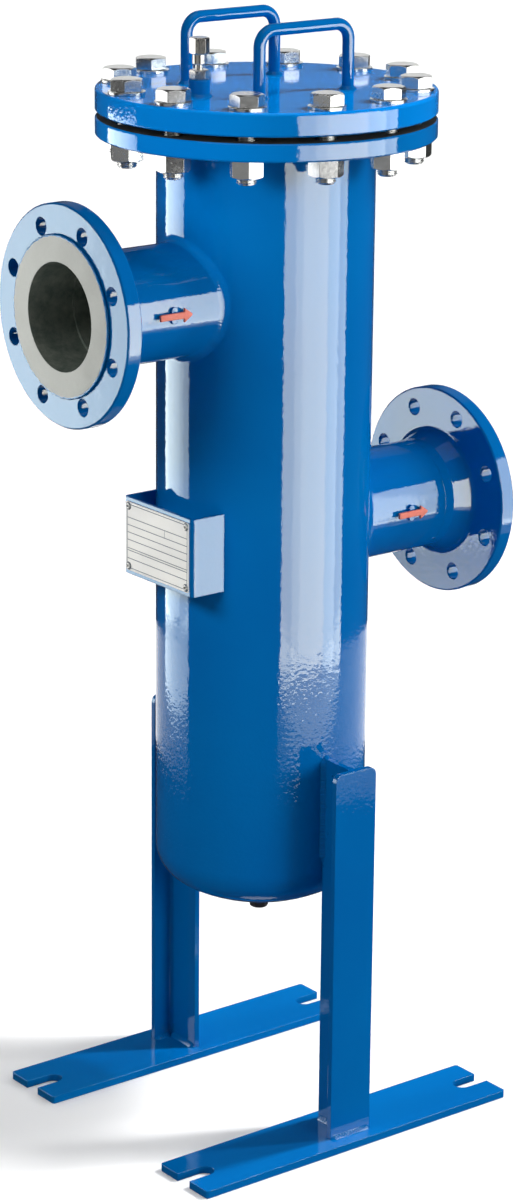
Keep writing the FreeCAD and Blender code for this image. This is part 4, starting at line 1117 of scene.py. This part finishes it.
def add_lamp(name, kind, energy, toward):
    """A lamp whose back looks along toward."""
    lamp = bpy.data.lights.new(name, kind)
    lamp.energy = energy
    holder = add_object(name, lamp)
    holder.rotation_mode = "QUATERNION"
    holder.rotation_quaternion = toward.to_track_quat("Z", "Y")
    return holder


def area_lamp(name, size, watts, centre, toward, hidden_from):
    holder = add_lamp(name, "AREA", watts, toward)
    holder.data.shape = "RECTANGLE"
    holder.data.size = size[0]
    holder.data.size_y = size[1]
    holder.location = centre
    hide_from(holder, hidden_from)
    return holder


def gloss_lamp(name, receivers, size, radiance, centre, toward):
    """A panel lamp of an even radiance, which only the gloss of the receivers sees."""
    watts = radiance * AREA_LAMP_WATTS * size[0] * size[1]
    holder = area_lamp(name, size, watts, centre, toward, GLOSS_ONLY)
    holder.light_linking.receiver_collection = receivers
    return holder


def softboxes(label, receivers, level, rows):
    """Upright panels, each between two bearings from the camera's own and two heights."""
    for index, (first, last, low, high, share, distance, tint) in enumerate(rows):
        toward = azimuth_direction(CAMERA_AZIMUTH + (first + last) / 2)
        width = 2 * distance * math.tan(math.radians((last - first) / 2))
        centre = toward * distance + UP * ((low + high) / 2)
        panel = gloss_lamp("softbox_" + label + str(index), receivers, (width, high - low),
                           level * share, centre, toward)
        panel.data.color = tint


def soft_suns(rows, receivers=None):
    """Suns that gloss doesn't show; where receivers is given they light it alone."""
    for name, azimuth, elevation, strength, spread in rows:
        rise = math.radians(elevation)
        toward = azimuth_direction(azimuth) * math.cos(rise) + UP * math.sin(rise)
        sun = add_lamp(name, "SUN", strength, toward)
        sun.data.angle = math.radians(spread)
        hide_from(sun, ("glossy",))
        if receivers is not None:
            sun.light_linking.receiver_collection = receivers


def dark_flags(name, first, last, near, far, low, high):
    """A dark studio card between two bearings, which only gloss reflects; upright where near is far."""
    steps = max(FLAG_LEAST_STEPS, int((last - first) / FLAG_STEP))
    points = []
    for index in range(steps + 1):
        around = azimuth_direction(CAMERA_AZIMUTH + first + (last - first) * index / steps)
        points.append(around * near + UP * low)
        points.append(around * far + UP * high)
    faces = [(2 * i, 2 * i + 2, 2 * i + 3, 2 * i + 1) for i in range(steps)]
    material, tree = new_material(name)
    tree.nodes.clear()
    glow = add_node(tree, "ShaderNodeEmission", None, {"Color": WHITE, "Strength": FLAG_RADIANCE})
    add_node(tree, "ShaderNodeOutputMaterial", None, {"Surface": glow.outputs[0]})
    hide_from(stage_mesh(name, points, faces, material), GLOSS_ONLY + ("shadow",))


floor_material, floor_tree = new_material("pale_floor")
seen = any_shown_ray(floor_tree)
feed(floor_tree, {"Base Color": mix_colour(floor_tree, seen, FLOOR_BOUNCE, FLOOR_PALE), "Roughness": 0.9,
                  "Specular IOR Level": 0.1, "Emission Color": WHITE,
                  "Emission Strength": math_node(floor_tree, "MULTIPLY", seen, FLOOR_GLOW)})
floor_corners = [Vector((x * FLOOR_HALF_SIDE, y * FLOOR_HALF_SIDE, FLOOR_Z))
                 for x, y in ((-1, -1), (1, -1), (1, 1), (-1, 1))]
stage_mesh("studio_floor", floor_corners, [(0, 1, 2, 3)], floor_material)

painted = linked("painted_pieces", [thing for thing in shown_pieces()
                                    if thing.data.materials[0] in GLOSSY_PAINTS])
bare = linked("bare_pieces", [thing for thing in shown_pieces()
                              if thing.data.materials[0] not in GLOSSY_PAINTS])
softboxes("paint", painted, PAINT_LEVEL, PAINT_PANELS)
softboxes("bare", bare, 1.0, BARE_PANELS)
floor_panel_spot = azimuth_direction(CAMERA_AZIMUTH + FLOOR_PANEL_BEARING) * FLOOR_PANEL_DISTANCE
gloss_lamp("floor_glow", painted, FLOOR_PANEL_SIZE, PAINT_LEVEL * FLOOR_PANEL_SHARE,
           floor_panel_spot + UP * FLOOR_PANEL_Z, -DOWN)
for name, receivers, radiance in (("top_paint", painted, PAINT_LEVEL * TOP_PAINT_SHARE),
                                  ("top_bare", bare, TOP_BARE_LEVEL)):
    gloss_lamp(name, receivers, TOP_PANEL_SIZE, radiance, TOP_PANEL_SPOT, UP)
for card in FLAG_CARDS:
    dark_flags(*card)

soft_suns(SUNS)
key_aim = azimuth_direction(KEY_AZIMUTH)
area_lamp("key_strip", KEY_SIZE, KEY_WATTS, key_aim * KEY_DISTANCE + UP * KEY_HEIGHT, key_aim, UNSEEN)

all_but_walls = linked("all_but_walls", things_of(WALLS))
for entry in all_but_walls.collection_objects:
    entry.light_linking.link_state = "EXCLUDE"
for sun in things_of(("front", "fill")):
    sun.light_linking.receiver_collection = all_but_walls
for label, names, rows in PIECE_SUNS:
    soft_suns(rows, linked(label, things_of(names)))

upper_aim = azimuth_direction(UPPER_LAMP_AZIMUTH)
upper_lamp = area_lamp("upper_lamp", UPPER_LAMP_SIZE, UPPER_LAMP_WATTS,
                       upper_aim * UPPER_LAMP_DISTANCE + UP * UPPER_LAMP_HEIGHT,
                       upper_aim + UP * UPPER_LAMP_TILT, UNSEEN)
upper_lamp.light_linking.receiver_collection = linked("upper_vessel", things_of(UPPER_LAMP_PIECES))

world = bpy.data.worlds.new("studio")
world.use_nodes = True
world_tree = world.node_tree
shown = any_shown_ray(world_tree)
set_inputs(world_tree, world_tree.nodes["Background"],
           {"Color": WHITE, "Strength": remap(world_tree, shown, 0.0, 1.0, WORLD_LEVEL, 1.0)})
bpy.context.scene.world = world

azimuth = math.radians(CAMERA_AZIMUTH)
elevation = math.radians(CAMERA_ELEVATION)
roll = math.radians(CAMERA_ROLL)
back = Vector((math.sin(azimuth) * math.cos(elevation), -math.cos(azimuth) * math.cos(elevation),
               math.sin(elevation)))
right = Vector((math.cos(azimuth), math.sin(azimuth), 0.0))
upward = back.cross(right)
rolled_right = right * math.cos(roll) + upward * math.sin(roll)
rolled_up = upward * math.cos(roll) - right * math.sin(roll)
spot = UP * AIM_HEIGHT + right * AIM_RIGHT + back * CAMERA_DISTANCE
lens = bpy.data.cameras.new("photo_camera")
lens.sensor_fit = "AUTO"
lens.sensor_width = SENSOR_MM
lens.lens = SENSOR_MM * FOCAL_PIXELS / PHOTO_LONG_SIDE
lens.clip_start = CLIP_START
lens.clip_end = CLIP_END
camera = add_object("photo_camera", lens)
camera.matrix_world = Matrix((
    (rolled_right.x, rolled_up.x, back.x, spot.x),
    (rolled_right.y, rolled_up.y, back.y, spot.y),
    (rolled_right.z, rolled_up.z, back.z, spot.z),
    (0, 0, 0, 1)))
bpy.context.scene.camera = camera
bpy.context.scene.view_settings.view_transform = "Standard"
